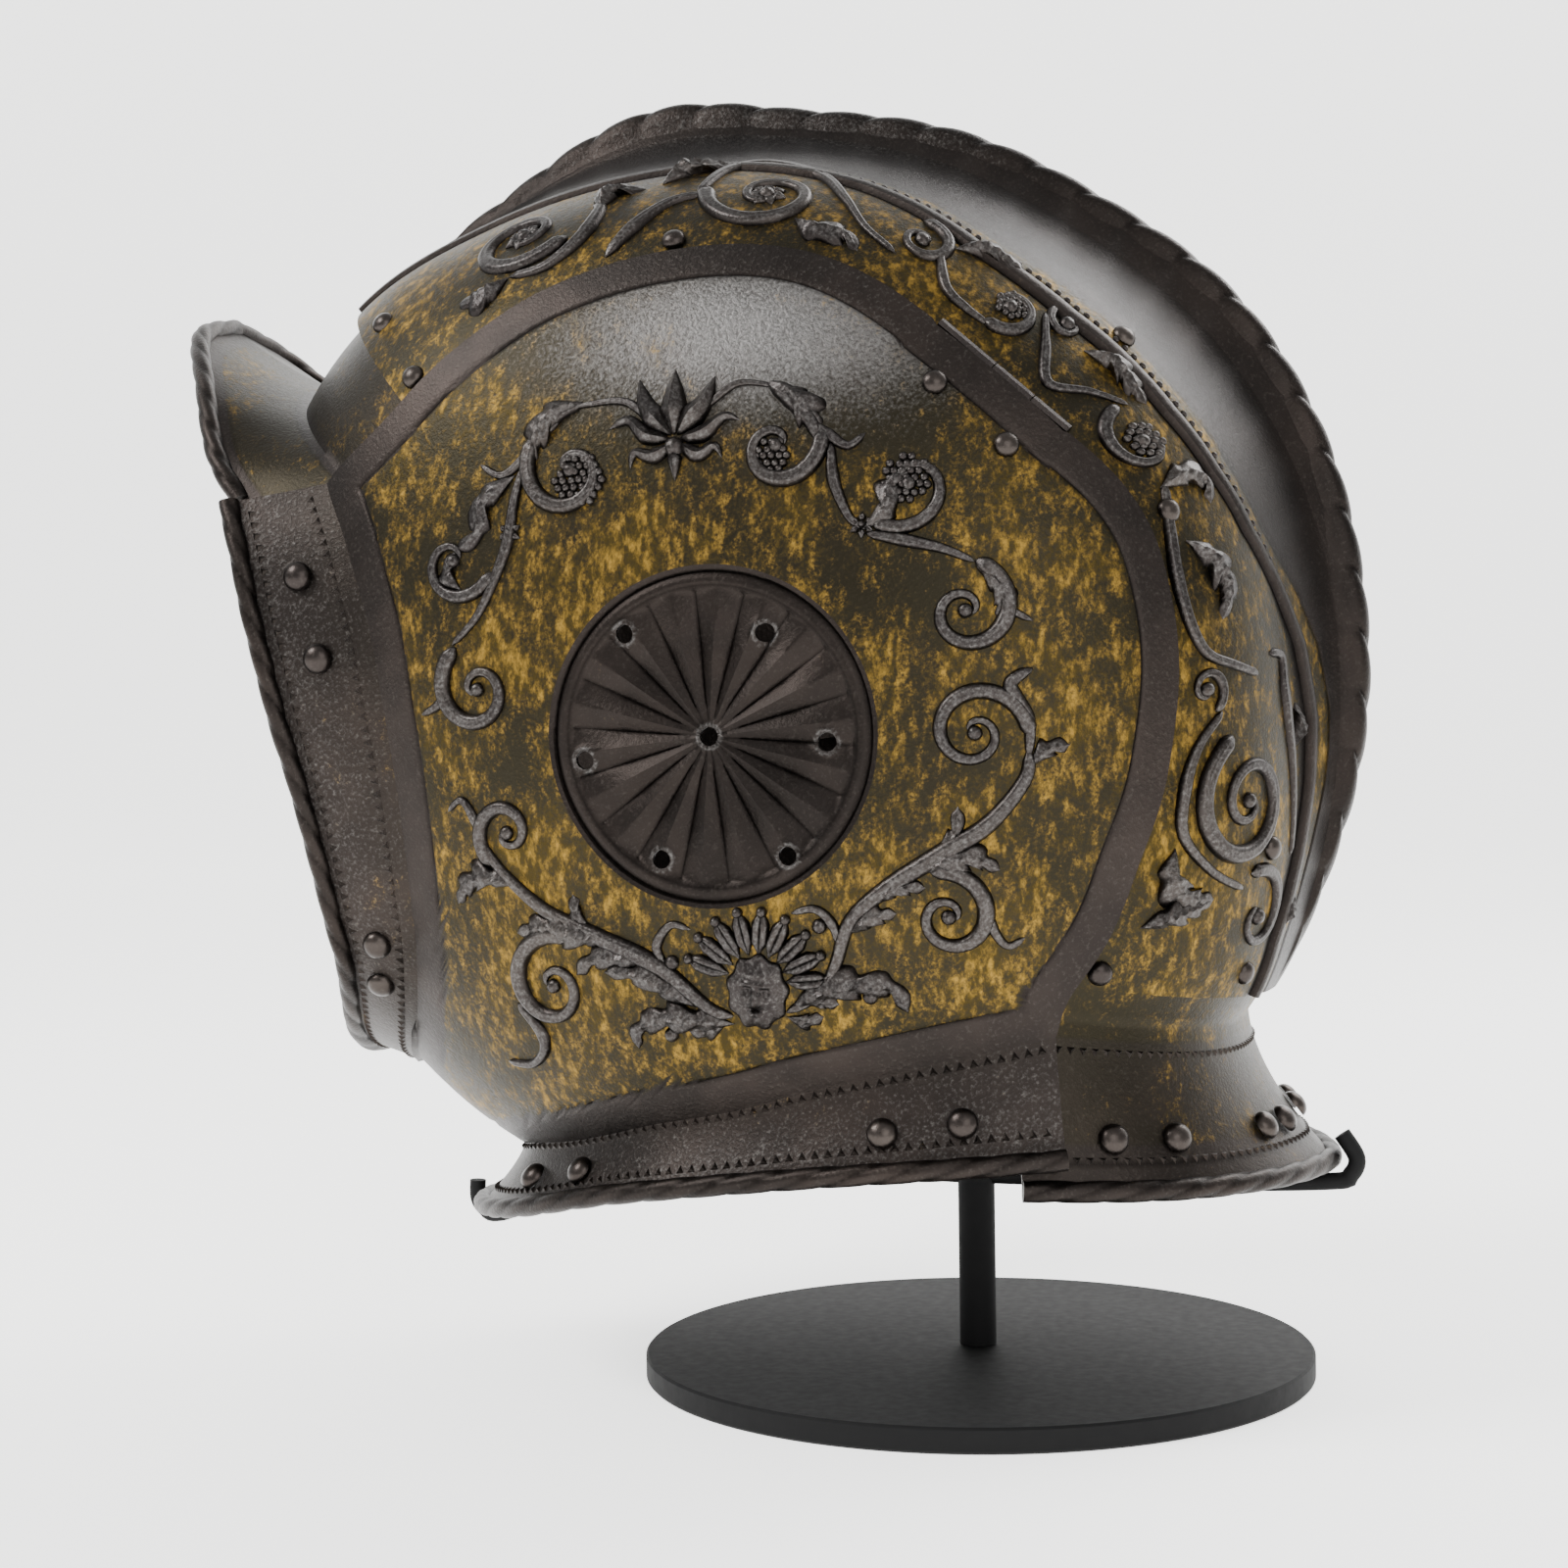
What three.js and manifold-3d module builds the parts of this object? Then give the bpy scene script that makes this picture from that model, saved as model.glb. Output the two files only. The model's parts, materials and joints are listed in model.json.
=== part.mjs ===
// Parade helmet of the open burgonet kind on a plain display stand: a one-piece skull with a high
// comb, a riveted peak, a flared neck guard and two hinged cheekpieces that meet at the chin.
// Millimetres, +Z up. The helmet faces -Y and the wearer's left is +X. The origin is the middle of
// the underside of the stand's round base.
import * as THREE from 'three';
import { mergeVertices } from 'three/addons/utils/BufferGeometryUtils.js';
import Module from 'manifold-3d';

const wasm = await Module();
wasm.setup();

// Driving sizes
const WALL = 1.5; // steel plate
const HALF_WIDTH = 98; // widest point of the skull, at the ears
const EAR = { y: -42, z: 171 }; // centre of the ear rosette, the pole of the whole shell
const CHEEK_LIFT = 2.9; // outer face of the cheekpieces above the outer face of the skull
const BROW_SINK = 3; // outer face of the peak's band below the outer face of the skull
const GUARD_SINK = 2.9; // outer face of the neck guard's top below the outer face of the skull
const SEAM = 0.25; // half of the gap between the cheekpieces at the chin
const ROPE = 2.7; // radius of the roped rims

// Side outline of the shell, every 15 degrees about the ear, from straight down round the face,
// over the crown and down the back. bowl: reach at the mid-plane; comb: height of the comb above
// it, none where it is below 0; square: exponent of the cross-section, 2 for an ellipse and more
// for a squarer one.
const OUTLINE_STEP = 15;
const OUTLINE = [
  { turn: -180, bowl: 128, comb: 0, square: 2.5 },
  { turn: -165, bowl: 129, comb: 0, square: 2.4 },
  { turn: -150, bowl: 133, comb: 0, square: 2.2 },
  { turn: -135, bowl: 138, comb: 0, square: 2.05 },
  { turn: -120, bowl: 141, comb: 0, square: 2.05 },
  { turn: -105, bowl: 139, comb: 0, square: 2.2 },
  { turn: -90, bowl: 144, comb: 0, square: 2.3 },
  { turn: -75, bowl: 157, comb: -12, square: 2.35 },
  { turn: -60, bowl: 168.5, comb: -8, square: 2.4 },
  { turn: -45, bowl: 169, comb: 3, square: 2.45 },
  { turn: -30, bowl: 161, comb: 12.5, square: 2.5 },
  { turn: -15, bowl: 155, comb: 21.5, square: 2.5 },
  { turn: 0, bowl: 150.5, comb: 17.2, square: 2.5 },
  { turn: 15, bowl: 146, comb: 18.5, square: 2.5 },
  { turn: 30, bowl: 142, comb: 18.5, square: 2.5 },
  { turn: 45, bowl: 140, comb: 20, square: 2.5 },
  { turn: 60, bowl: 137.5, comb: 18.5, square: 2.5 },
  { turn: 75, bowl: 132.5, comb: 18, square: 2.5 },
  { turn: 90, bowl: 131, comb: 15, square: 2.5 },
  { turn: 105, bowl: 134.5, comb: 7, square: 2.5 },
  { turn: 120, bowl: 139, comb: 0, square: 2.5 },
  { turn: 135, bowl: 136, comb: 0, square: 2.5 },
  { turn: 150, bowl: 131, comb: 0, square: 2.5 },
  { turn: 165, bowl: 128, comb: 0, square: 2.5 },
];

// Half section of the comb: distance from the mid-plane and share of the comb's height there. The
// foot is broad and hollow-sided, and the ridge is thick enough to be worked as a rope.
const COMB = [
  { x: 31, share: 0 },
  { x: 22, share: 0.08 },
  { x: 14, share: 0.22 },
  { x: 9, share: 0.37 },
  { x: 5.2, share: 0.54 },
  { x: 4.4, share: 0.86 },
  { x: 2.4, share: 0.97 },
  { x: 0, share: 1 },
];
const SKULL = { front: -45.6, rows: 22, sideSteps: 4, overlap: 13 };
// Lower edge of the skull at the back, in side view, and the turns between which it lies
const NAPE = { y: 77, z: 104, slope: -1 / 6, turns: [90, 150] };

// Edges of a cheekpiece: turn about the ear and reach from it in side view. A row without a reach
// lies on the mid-plane, where the two cheekpieces meet.
const FACE_EDGE = [
  { turn: -58.8, reach: 126 },
  { turn: -64.5, reach: 110 },
  { turn: -75, reach: 95 },
  { turn: -88.5, reach: 88.5 },
  { turn: -101.5, reach: 88.5 },
  { turn: -114, reach: 95 },
  { turn: -122.5, reach: 105 },
  { turn: -128, reach: 121 },
  { turn: -129.5, reach: 137.5 },
  { turn: -128.5 },
];
const CHIN_SEAM = [{ turn: -128.5 }, { turn: -143 }];
const NECK_EDGE = [
  { turn: -143 },
  { turn: -145.5, reach: 132.5 },
  { turn: -149.5, reach: 123 },
  { turn: -159.5, reach: 107 },
  { turn: -170.5, reach: 96 },
  { turn: -187, reach: 89 },
  { turn: -203, reach: 89.5 },
  { turn: -217, reach: 96.5 },
  { turn: -227, reach: 106.5 },
];
const BACK_EDGE = [
  { turn: -227, reach: 106.5 },
  { turn: -234, reach: 103.2 },
  { turn: -250, reach: 103.3 },
  { turn: -265, reach: 105.5 },
  { turn: -279, reach: 108.7 },
  { turn: -292, reach: 111.5 },
  { turn: -301, reach: 111.5 },
  { turn: -311, reach: 108.6 },
  { turn: -321.5, reach: 107.9 },
  { turn: -332.3, reach: 110.8 },
  { turn: -350, reach: 118.5 },
  { turn: -367, reach: 120.5 },
  { turn: -384, reach: 121.2 },
  { turn: -406, reach: 120.3 },
  { turn: -418.8, reach: 126 },
];
const CHEEK_EDGES = [
  { rows: FACE_EDGE, steps: 9, flange: 'face' },
  { rows: CHIN_SEAM, steps: 2, flange: null },
  { rows: NECK_EDGE, steps: 8, flange: 'neck' },
  { rows: BACK_EDGE, steps: 17, flange: null },
];
const FIRST_SPOKE = -46; // turn of the rosette's first flute
const FIELD_RINGS = [0.35, 0.7, 1]; // shares of the way from the rosette to the edge
const FLANGE_ROWS = [0.5, 1]; // shares of a flange's width

// Face flange, from the temple along the crease to the chin: how far its roped edge stands forward
// of the crease, rises above it, and flares outward.
const FACE_FLANGE = [
  { forward: 26.5, rise: -4, flare: 2 },
  { forward: 30, rise: -5, flare: 0 },
  { forward: 26.5, rise: -5, flare: -2 },
  { forward: 22.5, rise: -5, flare: -4 },
  { forward: 20, rise: 4.5, flare: -4 },
  { forward: 14, rise: 4, flare: 0 },
];

// Neck opening, every 30 degrees about its vertical axis from the middle of the back to the chin.
// cheek: reach of the cheekpieces' roped edge, and cheekZ its height; guard: the neck guard's.
const NECK_AXIS_Y = -27;
const NECK_STEP = 30;
const FLARE = 1.35; // exponent of the cheekpieces' flare from the crease to the rim
const NECK = [
  { turn: 0, cheek: 121, cheekZ: 71, guard: 121, guardZ: 59.5 },
  { turn: 30, cheek: 113, cheekZ: 71, guard: 111.2, guardZ: 60.2 },
  { turn: 60, cheek: 98.5, cheekZ: 68.5, guard: 93.5, guardZ: 62 },
  { turn: 90, cheek: 90, cheekZ: 64.5, guard: 88, guardZ: 64 },
  { turn: 120, cheek: 93, cheekZ: 58, guard: 88, guardZ: 64 },
  { turn: 150, cheek: 103, cheekZ: 48, guard: 88, guardZ: 64 },
  { turn: 180, cheek: 110, cheekZ: 43, guard: 88, guardZ: 64 },
];
const GUARD = { half: 55, steps: 18, tuck: 10, waist: 8.5, flare: 1.7, search: 40 };
const GUARD_ROWS = [0.35, 0.7, 1]; // shares of the way from the waist to the rim

// Ear rosette: rings from its middle outwards, and the depth of its ribs and of the flutes between
// them below the plate's face
const ROSETTE = [
  { radius: 0, rib: 1.4, flute: 1.4 },
  { radius: 22, rib: 0.4, flute: 2.4 },
  { radius: 35.6, rib: 0.9, flute: 1.9 },
  { radius: 38.8, rib: 1.1, flute: 1.1 },
  { radius: 40, rib: 0, flute: 0 },
];
const ROSETTE_HOLE = 2.25; // radius of its holes
const ROSETTE_HOLES = [
  { y: 0, z: 0 },
  { y: -21, z: 24.7 },
  { y: 13.9, z: 24.3 },
  { y: 28.5, z: -1.6 },
  { y: 18.6, z: -28.4 },
  { y: -12.8, z: -29.2 },
  { y: -31.8, z: -5.4 },
];

// Raised ornament of a cheekpiece in side view, measured from the ear. A spiral winds in round its
// centre from its reach, over its sweep in degrees; a stem runs through the places of its row.
const SPIRALS = [
  { y: 16, z: 68, reach: 11, from: 70, sweep: 330 },
  { y: 61, z: 28, reach: 12, from: 10, sweep: 360 },
  { y: 56, z: -43, reach: 11.5, from: -20, sweep: 360 },
  { y: -45, z: -61, reach: 14, from: 30, sweep: -360 },
];
const STEMS = [
  [{ y: 75, z: -6 }, { y: 55, z: -28 }, { y: 34, z: -43 }, { y: 26, z: -61 }, { y: 14, z: -66 }],
  [{ y: 4, z: -66 }, { y: -15, z: -55 }, { y: -34, z: -47 }, { y: -57, z: -31 }],
];
const SCROLL = { radius: 2.1, sides: 3, sink: 0.9, steps: 8, heart: 0.4 }; // heart: share at a spiral's end
const MASK = { y: 9.4, z: -59.5, radius: 8, height: 4.4, seat: -1.8, sides: 8 }; // boss of the mask
const BUD = { y: -10, z: 77, radius: 6, height: 4, seat: -1.8, sides: 6 }; // boss of the bud

// Peak: the crease lies on the shell at turns from the middle to the temple, and the roped edge
// stands in front of it. The band behind the crease goes in under the skull, and its ends are
// tucked in under the cheekpieces.
const PEAK = { middle: -54.5, temple: -57.6, band: 12.5, tuck: 5, steps: 16, dish: 2 };
const PEAK_ROWS = [0.5, 1]; // shares of the brim's width
const PEAK_RIM = [
  { x: 0, y: -213.5, z: 288.5 },
  { x: 27, y: -210, z: 282.5 },
  { x: 51, y: -197, z: 265.5 },
  { x: 66, y: -186.5, z: 246 },
  { x: 71, y: -177, z: 233 },
];

// Hinge of a cheekpiece: its pin lies along the straight stretch of the rear edge, between two
// places in side view. The knuckle lengths run from the crown end to the nape end. The leaves are
// sections of their strips: across is towards the ear and out is away from the helmet.
const HINGE = { top: { y: 51.5, z: 98.1 }, end: { y: 82.2, z: 71.1 }, lift: 1.6 };
const KNUCKLES = [17, 12.5, 11.4];
const KNUCKLE = { radius: 1.5, bore: 0.95, pin: 0.6, clear: 0.3, sides: 8 };
const SKULL_LEAF = [
  { across: -0.9, out: -0.9 },
  { across: -0.9, out: -4.1 },
  { across: -11, out: -5.2 },
  { across: -11, out: -6.1 },
  { across: 0.1, out: -5 },
  { across: 0.1, out: -0.9 },
];
const CHEEK_STRAP = [
  { across: 1, out: -0.3 },
  { across: 6, out: -1.6 },
  { across: 6, out: -2.5 },
  { across: 1, out: -1.2 },
];
const CHEEK_LEAF = [
  { across: 5, out: -1.6 },
  { across: 19, out: -3.6 },
  { across: 19, out: -4.5 },
  { across: 5, out: -2.5 },
];
const CHEEK_LEAF_HALF = 14;
const HINGE_CUT = 12; // half depth of the cuts that make room for it

// Domed rivet heads. Places on the shell are in side view from the ear; places on a flange or on
// the peak are along it and out from its crease, as shares; those on the neck guard are by its turn.
const RIVET = { radius: 3.8, height: 2.8, seat: 0.9, sides: 6 };
const SMALL_RIVET = { radius: 3.1, height: 2.3, seat: 0.65, sides: 6 };
const PEAK_RIVET = { radius: 2, height: 1.6, seat: -0.5, sides: 6 };
const CHEEK_RIVETS = [{ y: -73.6, z: -87 }, { y: 51.2, z: 81.8 }, { y: 68, z: 66.6 }];
const FACE_RIVETS = [
  { along: 0.13, out: 0.5 },
  { along: 0.23, out: 0.5 },
  { along: 0.63, out: 0.5 },
  { along: 0.71, out: 0.5 },
];
const NECK_RIVETS = [
  { along: 0.27, out: 0.55 },
  { along: 0.35, out: 0.55 },
  { along: 0.76, out: 0.6 },
  { along: 0.86, out: 0.6 },
];
const SKULL_RIVETS = [
  { y: -16.9, z: 122.5 },
  { y: 90.8, z: 96.7 },
  { y: 104, z: 52.3 },
  { y: 88.3, z: -57.5 },
  { y: 118.6, z: -60.5 },
  { y: 125.2, z: -29.5 },
];
const BROW_RIVETS = [{ y: -99.9, z: 108 }, { y: -84.3, z: 91.3 }];
const BROW_MIDDLE = -43; // turn of the brow rivet on the mid-plane
const PEAK_RIVETS = [
  { along: 0.26, out: 0.62 },
  { along: 0.38, out: 0.62 },
  { along: 0.62, out: 0.55 },
  { along: 0.74, out: 0.5 },
];
const GUARD_RIVETS = [{ turn: 42 }, { turn: 32.5 }, { turn: 14 }, { turn: 7 }];
const GUARD_RIVET_OUT = 0.7; // share of the way from the waist to the rim
const SHOULDER = { share: 0.72, rise: 0.68 }; // of a dome, as shares of its radius and height
const RIVET_LOOK = 15; // height from which the plate under a rivet is looked for

// Display stand: base disc, post, and one rod bent into a hook under each rim
const BASE = { radius: 89, height: 6.5, bevel: 0.6, sides: 32 };
const POST = { radius: 4.9, sides: 12 };
const JOINT_GAP = 0.3; // between the post and the base
const ROD = { radius: 2.25, sides: 6, steps: 32, z: 52, bend: 60, clear: 1.25 };
// Bends of the rod's hooks from the middle of a rim's rope, as shares of the distance that it keeps
const FRONT_HOOK = [
  { out: -1, up: 0.5 },
  { out: -1, up: -0.3 },
  { out: -0.7, up: -0.75 },
  { out: 0, up: -1 },
  { out: 2.9, up: -0.2 },
];
const REAR_HOOK = [
  { out: 0, up: -1 },
  { out: 0.75, up: -0.7 },
  { out: 1, up: 0 },
  { out: 0.4, up: 1 },
];

const STEEL = { color: 0x2b2624, roughness: 0.45, metalness: 0.9 };
const GILT = { color: 0x6e5526, roughness: 0.5, metalness: 0.9 };
const BLACK = { color: 0x111213, roughness: 0.6, metalness: 0.2 };

const FAR = 400; // longer than the helmet, for cutting blocks
const DRILL = 30; // length of a drill through a cheekpiece
const HOLE_SIDES = 6;
const HALVINGS = 40; // of a span in which a place is looked for
const TOLERANCE = 1e-6;
const ROPE_SIDES = 6;
const ROPE_STEPS = 1.1; // steps of a cheekpiece's rope for each column of its plate
const UPRIGHT = new THREE.Vector3(0, 1, 0);
const MIDDLE = new THREE.Vector3(0, EAR.y, EAR.z);
const radians = THREE.MathUtils.degToRad;
const degrees = THREE.MathUtils.radToDeg;
const { lerp, clamp, euclideanModulo } = THREE.MathUtils;

// One column of a table at a place counted in rows, as a smooth curve through the rows. A closed
// table runs round.
function column(rows, name, place, closed = false) {
  const last = rows.length - 1;
  const i = closed ? Math.floor(place) : clamp(Math.floor(place), 0, last - 1);
  const value = (k) => rows[closed ? euclideanModulo(k, last + 1) : clamp(k, 0, last)][name];
  const [a, b, c, d] = [-1, 0, 1, 2].map((k) => value(i + k));
  const f = place - i;
  const bend = -a + 3 * b - 3 * c + d;
  return 0.5 * (2 * b + (c - a) * f + (2 * a - 5 * b + 4 * c - d) * f * f + bend * f * f * f);
}

const outline = (turn, name) => column(OUTLINE, name, (turn + 180) / OUTLINE_STEP, true);
const neck = (turn, name) => column(NECK, name, Math.abs(turn) / NECK_STEP);

// Point of the shell: turn about the ear, and swing from the ear (0) to the mid-plane (90)
function shell(turn, swing, lift = 0) {
  const power = 2 / outline(turn, 'square');
  const reach = (outline(turn, 'bowl') + lift) * Math.sin(radians(swing)) ** power;
  const x = (HALF_WIDTH + lift) * Math.max(Math.cos(radians(swing)), 0) ** power;
  const angle = radians(turn);
  return new THREE.Vector3(x, EAR.y + reach * Math.sin(angle), EAR.z + reach * Math.cos(angle));
}

// Swing at which the shell lies a given reach from the ear in side view
function swingAt(turn, reach, lift = 0) {
  const share = clamp(reach / (outline(turn, 'bowl') + lift), 0, 1);
  return degrees(Math.asin(share ** (outline(turn, 'square') / 2)));
}

// Swing at which the shell lies a given distance from the mid-plane
function swingBeside(turn, x) {
  return degrees(Math.acos((x / HALF_WIDTH) ** (outline(turn, 'square') / 2)));
}

// Point of the shell over a place in side view measured from the ear
function onShell(y, z, lift = 0) {
  const turn = degrees(Math.atan2(y, z));
  return shell(turn, swingAt(turn, Math.hypot(y, z), lift), lift);
}

// Point of a surface of two parameters, with the normal that looks away from the mid-plane
function spot(surface, u, v, step = 0.02) {
  const point = surface(u, v);
  const normal = surface(u + step, v).sub(point).cross(surface(u, v - step).sub(point)).normalize();
  return { point, normal: normal.x < 0 ? normal.negate() : normal };
}

// Closed plate from its outer face: points, and cells of three or four corners. The cells are
// turned to look away from the middle of the helmet, the wall grows inward, and every free edge
// gets a wall of its own.
function plate(points, cells) {
  const count = points.length;
  let triangles = cells.flatMap(([a, b, c, d]) => (
    d === undefined ? [[a, b, c]] : [[a, b, c], [a, c, d]]
  ));
  const side = (from, to) => points[to].clone().sub(points[from]);
  const facing = ([a, b, c]) => side(a, b).cross(side(a, c));
  const outward = (t) => facing(t).dot(points[t[0]].clone().sub(MIDDLE));
  const outwardness = triangles.reduce((sum, t) => sum + outward(t), 0);
  if (outwardness < 0) triangles = triangles.map(([a, b, c]) => [a, c, b]);
  const normals = points.map(() => new THREE.Vector3());
  for (const t of triangles) t.forEach((k) => normals[k].add(facing(t)));
  const inner = points.map((p, k) => p.clone().addScaledVector(normals[k].normalize(), -WALL));
  const edges = new Map();
  for (const [a, b, c] of triangles) {
    for (const [from, to] of [[a, b], [b, c], [c, a]]) {
      if (!edges.delete(`${to},${from}`)) edges.set(`${from},${to}`, [from, to]);
    }
  }
  const index = triangles.flatMap(([a, b, c]) => [a, b, c, c + count, b + count, a + count]);
  for (const [a, b] of edges.values()) index.push(b, a, a + count, b, a + count, b + count);
  const geometry = new THREE.BufferGeometry();
  const numbers = [...points, ...inner].flatMap((p) => p.toArray());
  geometry.setAttribute('position', new THREE.Float32BufferAttribute(numbers, 3));
  return geometry.setIndex(index);
}

// Cells of a grid that is stored row by row
function gridCells(rows, columns) {
  const cells = [];
  for (let r = 0; r + 1 < rows; r += 1) {
    for (let c = 0; c + 1 < columns; c += 1) {
      const a = r * columns + c;
      cells.push([a, a + 1, a + columns + 1, a + columns]);
    }
  }
  return cells;
}

// Round bar along a smooth line of points, with flat ends
function bar(points, radius, sides, steps) {
  const section = new THREE.Shape();
  for (let s = 0; s < sides; s += 1) {
    const angle = (2 * Math.PI * (s + 0.5)) / sides;
    section[s ? 'lineTo' : 'moveTo'](radius * Math.cos(angle), radius * Math.sin(angle));
  }
  const extrudePath = new THREE.CatmullRomCurve3(points, false, 'centripetal');
  return new THREE.ExtrudeGeometry(section, { steps, extrudePath, bevelEnabled: false });
}

// Solids for joining and cutting, and back to a geometry
function solid(geometry) {
  const bare = geometry.clone();
  for (const name of ['normal', 'uv']) bare.deleteAttribute(name);
  const { attributes, index } = mergeVertices(bare, 1e-3);
  const vertProperties = new Float32Array(attributes.position.array);
  const triVerts = new Uint32Array(index.array);
  return new wasm.Manifold(new wasm.Mesh({ numProp: 3, vertProperties, triVerts }));
}

function shape(body) {
  const { vertProperties, triVerts } = body.getMesh();
  const geometry = new THREE.BufferGeometry();
  geometry.setAttribute('position', new THREE.BufferAttribute(new Float32Array(vertProperties), 3));
  return geometry.setIndex(new THREE.BufferAttribute(new Uint32Array(triVerts), 1));
}

function block(x0, x1, y0, y1, z0, z1) {
  const brick = new THREE.BoxGeometry(x1 - x0, y1 - y0, z1 - z0);
  return brick.translate((x0 + x1) / 2, (y0 + y1) / 2, (z0 + z1) / 2);
}

// The same geometry on the wearer's right
function mirrored(geometry) {
  const copy = geometry.index ? geometry.clone() : mergeVertices(geometry);
  copy.scale(-1, 1, 1);
  const { array } = copy.index;
  for (let k = 0; k < array.length; k += 3) [array[k], array[k + 1]] = [array[k + 1], array[k]];
  return copy;
}

// Skull: bowl and comb in one plate, from the brow to the nape
function combRaise(turn, x) {
  const k = COMB.findIndex((row, i) => i > 0 && x >= row.x);
  const [outer, inner] = [COMB[k - 1], COMB[k]];
  const share = lerp(outer.share, inner.share, (outer.x - x) / (outer.x - inner.x));
  return Math.max(outline(turn, 'comb'), 0) * share;
}

// Reach of the cheekpiece's rear edge at a turn over the crown
function cheekReach(turn) {
  const far = turn - 360;
  const k = clamp(BACK_EDGE.findIndex((row) => row.turn <= far), 1, BACK_EDGE.length - 1);
  const [a, b] = [BACK_EDGE[k - 1], BACK_EDGE[k]];
  return lerp(a.reach, b.reach, clamp((a.turn - far) / (a.turn - b.turn), 0, 1));
}

function skullPoint(turn, place) {
  const k = Math.abs(place);
  const { sideSteps } = SKULL;
  let point;
  if (k > COMB.length - 1) {
    const side = swingAt(turn, cheekReach(turn) - SKULL.overlap);
    const foot = swingBeside(turn, COMB[0].x);
    point = shell(turn, lerp(foot, side, (k - COMB.length + 1) / sideSteps));
  } else {
    const { x } = COMB[COMB.length - 1 - k];
    const angle = radians(turn);
    const raise = combRaise(turn, x);
    point = shell(turn, swingBeside(turn, x));
    point.add(new THREE.Vector3(0, raise * Math.sin(angle), raise * Math.cos(angle)));
  }
  return place < 0 ? point.setX(-point.x) : point;
}

const napeZ = (y) => NAPE.z + NAPE.slope * (y - NAPE.y);

// Turn at which a line of the skull comes down to its lower edge
function napeTurn(place) {
  let [high, low] = NAPE.turns;
  for (let k = 0; k < HALVINGS; k += 1) {
    const middle = (high + low) / 2;
    const { y, z } = skullPoint(middle, place);
    if (z > napeZ(y)) high = middle;
    else low = middle;
  }
  return high;
}

function skull() {
  const half = COMB.length - 1 + SKULL.sideSteps;
  const places = Array.from({ length: 2 * half + 1 }, (_, k) => k - half);
  const ends = places.map(napeTurn);
  const points = [];
  for (let r = 0; r <= SKULL.rows; r += 1) {
    const share = r / SKULL.rows;
    places.forEach((place, k) => points.push(skullPoint(lerp(SKULL.front, ends[k], share), place)));
  }
  let body = solid(plate(points, gridCells(SKULL.rows + 1, places.length)));
  const notch = hingeCut(-HINGE_ROOM, FAR);
  body = body.subtract(solid(notch)).subtract(solid(mirrored(notch)));
  return shape(body);
}

// Places of the columns of a cheekpiece's grid on its edge
function edgePlace(rows, share) {
  const place = share * (rows.length - 1);
  const swings = rows.map(({ turn, reach }) => (
    { swing: reach ? swingAt(turn, reach, CHEEK_LIFT) : 90 }
  ));
  const swing = Math.min(column(swings, 'swing', place), 90);
  return { turn: column(rows, 'turn', place), swing };
}

function cheekColumns() {
  const places = CHEEK_EDGES.flatMap(({ rows, steps }) => (
    Array.from({ length: steps }, (_, k) => edgePlace(rows, k / steps))
  ));
  return places.map((place, k) => ({ ...place, spoke: FIRST_SPOKE - (360 * k) / places.length }));
}

// Flanges of a cheekpiece as surfaces: along the crease, and out from it to the roped edge
function faceFlange(along, out) {
  const { turn, swing } = edgePlace(FACE_EDGE, along);
  const place = along * (FACE_FLANGE.length - 1);
  const sizes = ['forward', 'rise', 'flare'].map((name) => column(FACE_FLANGE, name, place));
  const [forward, rise, flare] = sizes;
  const crease = shell(turn, swing, CHEEK_LIFT);
  return crease.add(new THREE.Vector3(flare * out ** 2, -forward * out, rise * out));
}

function neckFlange(along, out) {
  const { turn, swing } = edgePlace(NECK_EDGE, along);
  const crease = shell(turn, swing, CHEEK_LIFT);
  const angle = Math.atan2(crease.x, crease.y - NECK_AXIS_Y);
  const start = Math.hypot(crease.x, crease.y - NECK_AXIS_Y);
  const reach = lerp(start, neck(degrees(angle), 'cheek'), out ** FLARE);
  const z = lerp(crease.z, neck(degrees(angle), 'cheekZ'), out);
  return new THREE.Vector3(reach * Math.sin(angle), NECK_AXIS_Y + reach * Math.cos(angle), z);
}

const FLANGES = { face: faceFlange, neck: neckFlange };

// Grid of a cheekpiece: rings round the rosette's middle out to the edge, then the flanges' rows
function cheekPlate() {
  const columns = cheekColumns();
  const count = columns.length;
  const points = [shell(0, 0, CHEEK_LIFT - ROSETTE[0].rib)];
  for (const { radius, rib, flute } of ROSETTE.slice(1)) {
    columns.forEach(({ spoke }, k) => {
      points.push(shell(spoke, swingAt(spoke, radius), CHEEK_LIFT - (k % 2 ? flute : rib)));
    });
  }
  for (const share of FIELD_RINGS) {
    for (const { turn, swing, spoke } of columns) {
      const start = swingAt(spoke, ROSETTE.at(-1).radius);
      points.push(shell(lerp(spoke, turn, share), lerp(start, swing, share), CHEEK_LIFT));
    }
  }
  const rings = ROSETTE.length - 1 + FIELD_RINGS.length;
  const at = (ring, k) => 1 + (ring - 1) * count + (k % count);
  const cells = columns.map((_, k) => [0, at(1, k), at(1, k + 1)]);
  for (let ring = 1; ring < rings; ring += 1) {
    columns.forEach((_, k) => {
      cells.push([at(ring, k), at(ring + 1, k), at(ring + 1, k + 1), at(ring, k + 1)]);
    });
  }
  let first = 0;
  for (const { steps, flange } of CHEEK_EDGES) {
    let row = Array.from({ length: steps + 1 }, (_, k) => at(rings, first + k));
    for (const out of flange ? FLANGE_ROWS : []) {
      const next = row.map((_, k) => points.push(FLANGES[flange](k / steps, out)) - 1);
      for (let k = 0; k < steps; k += 1) cells.push([row[k], next[k], next[k + 1], row[k + 1]]);
      row = next;
    }
    first += steps;
  }
  return plate(points, cells);
}

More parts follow.
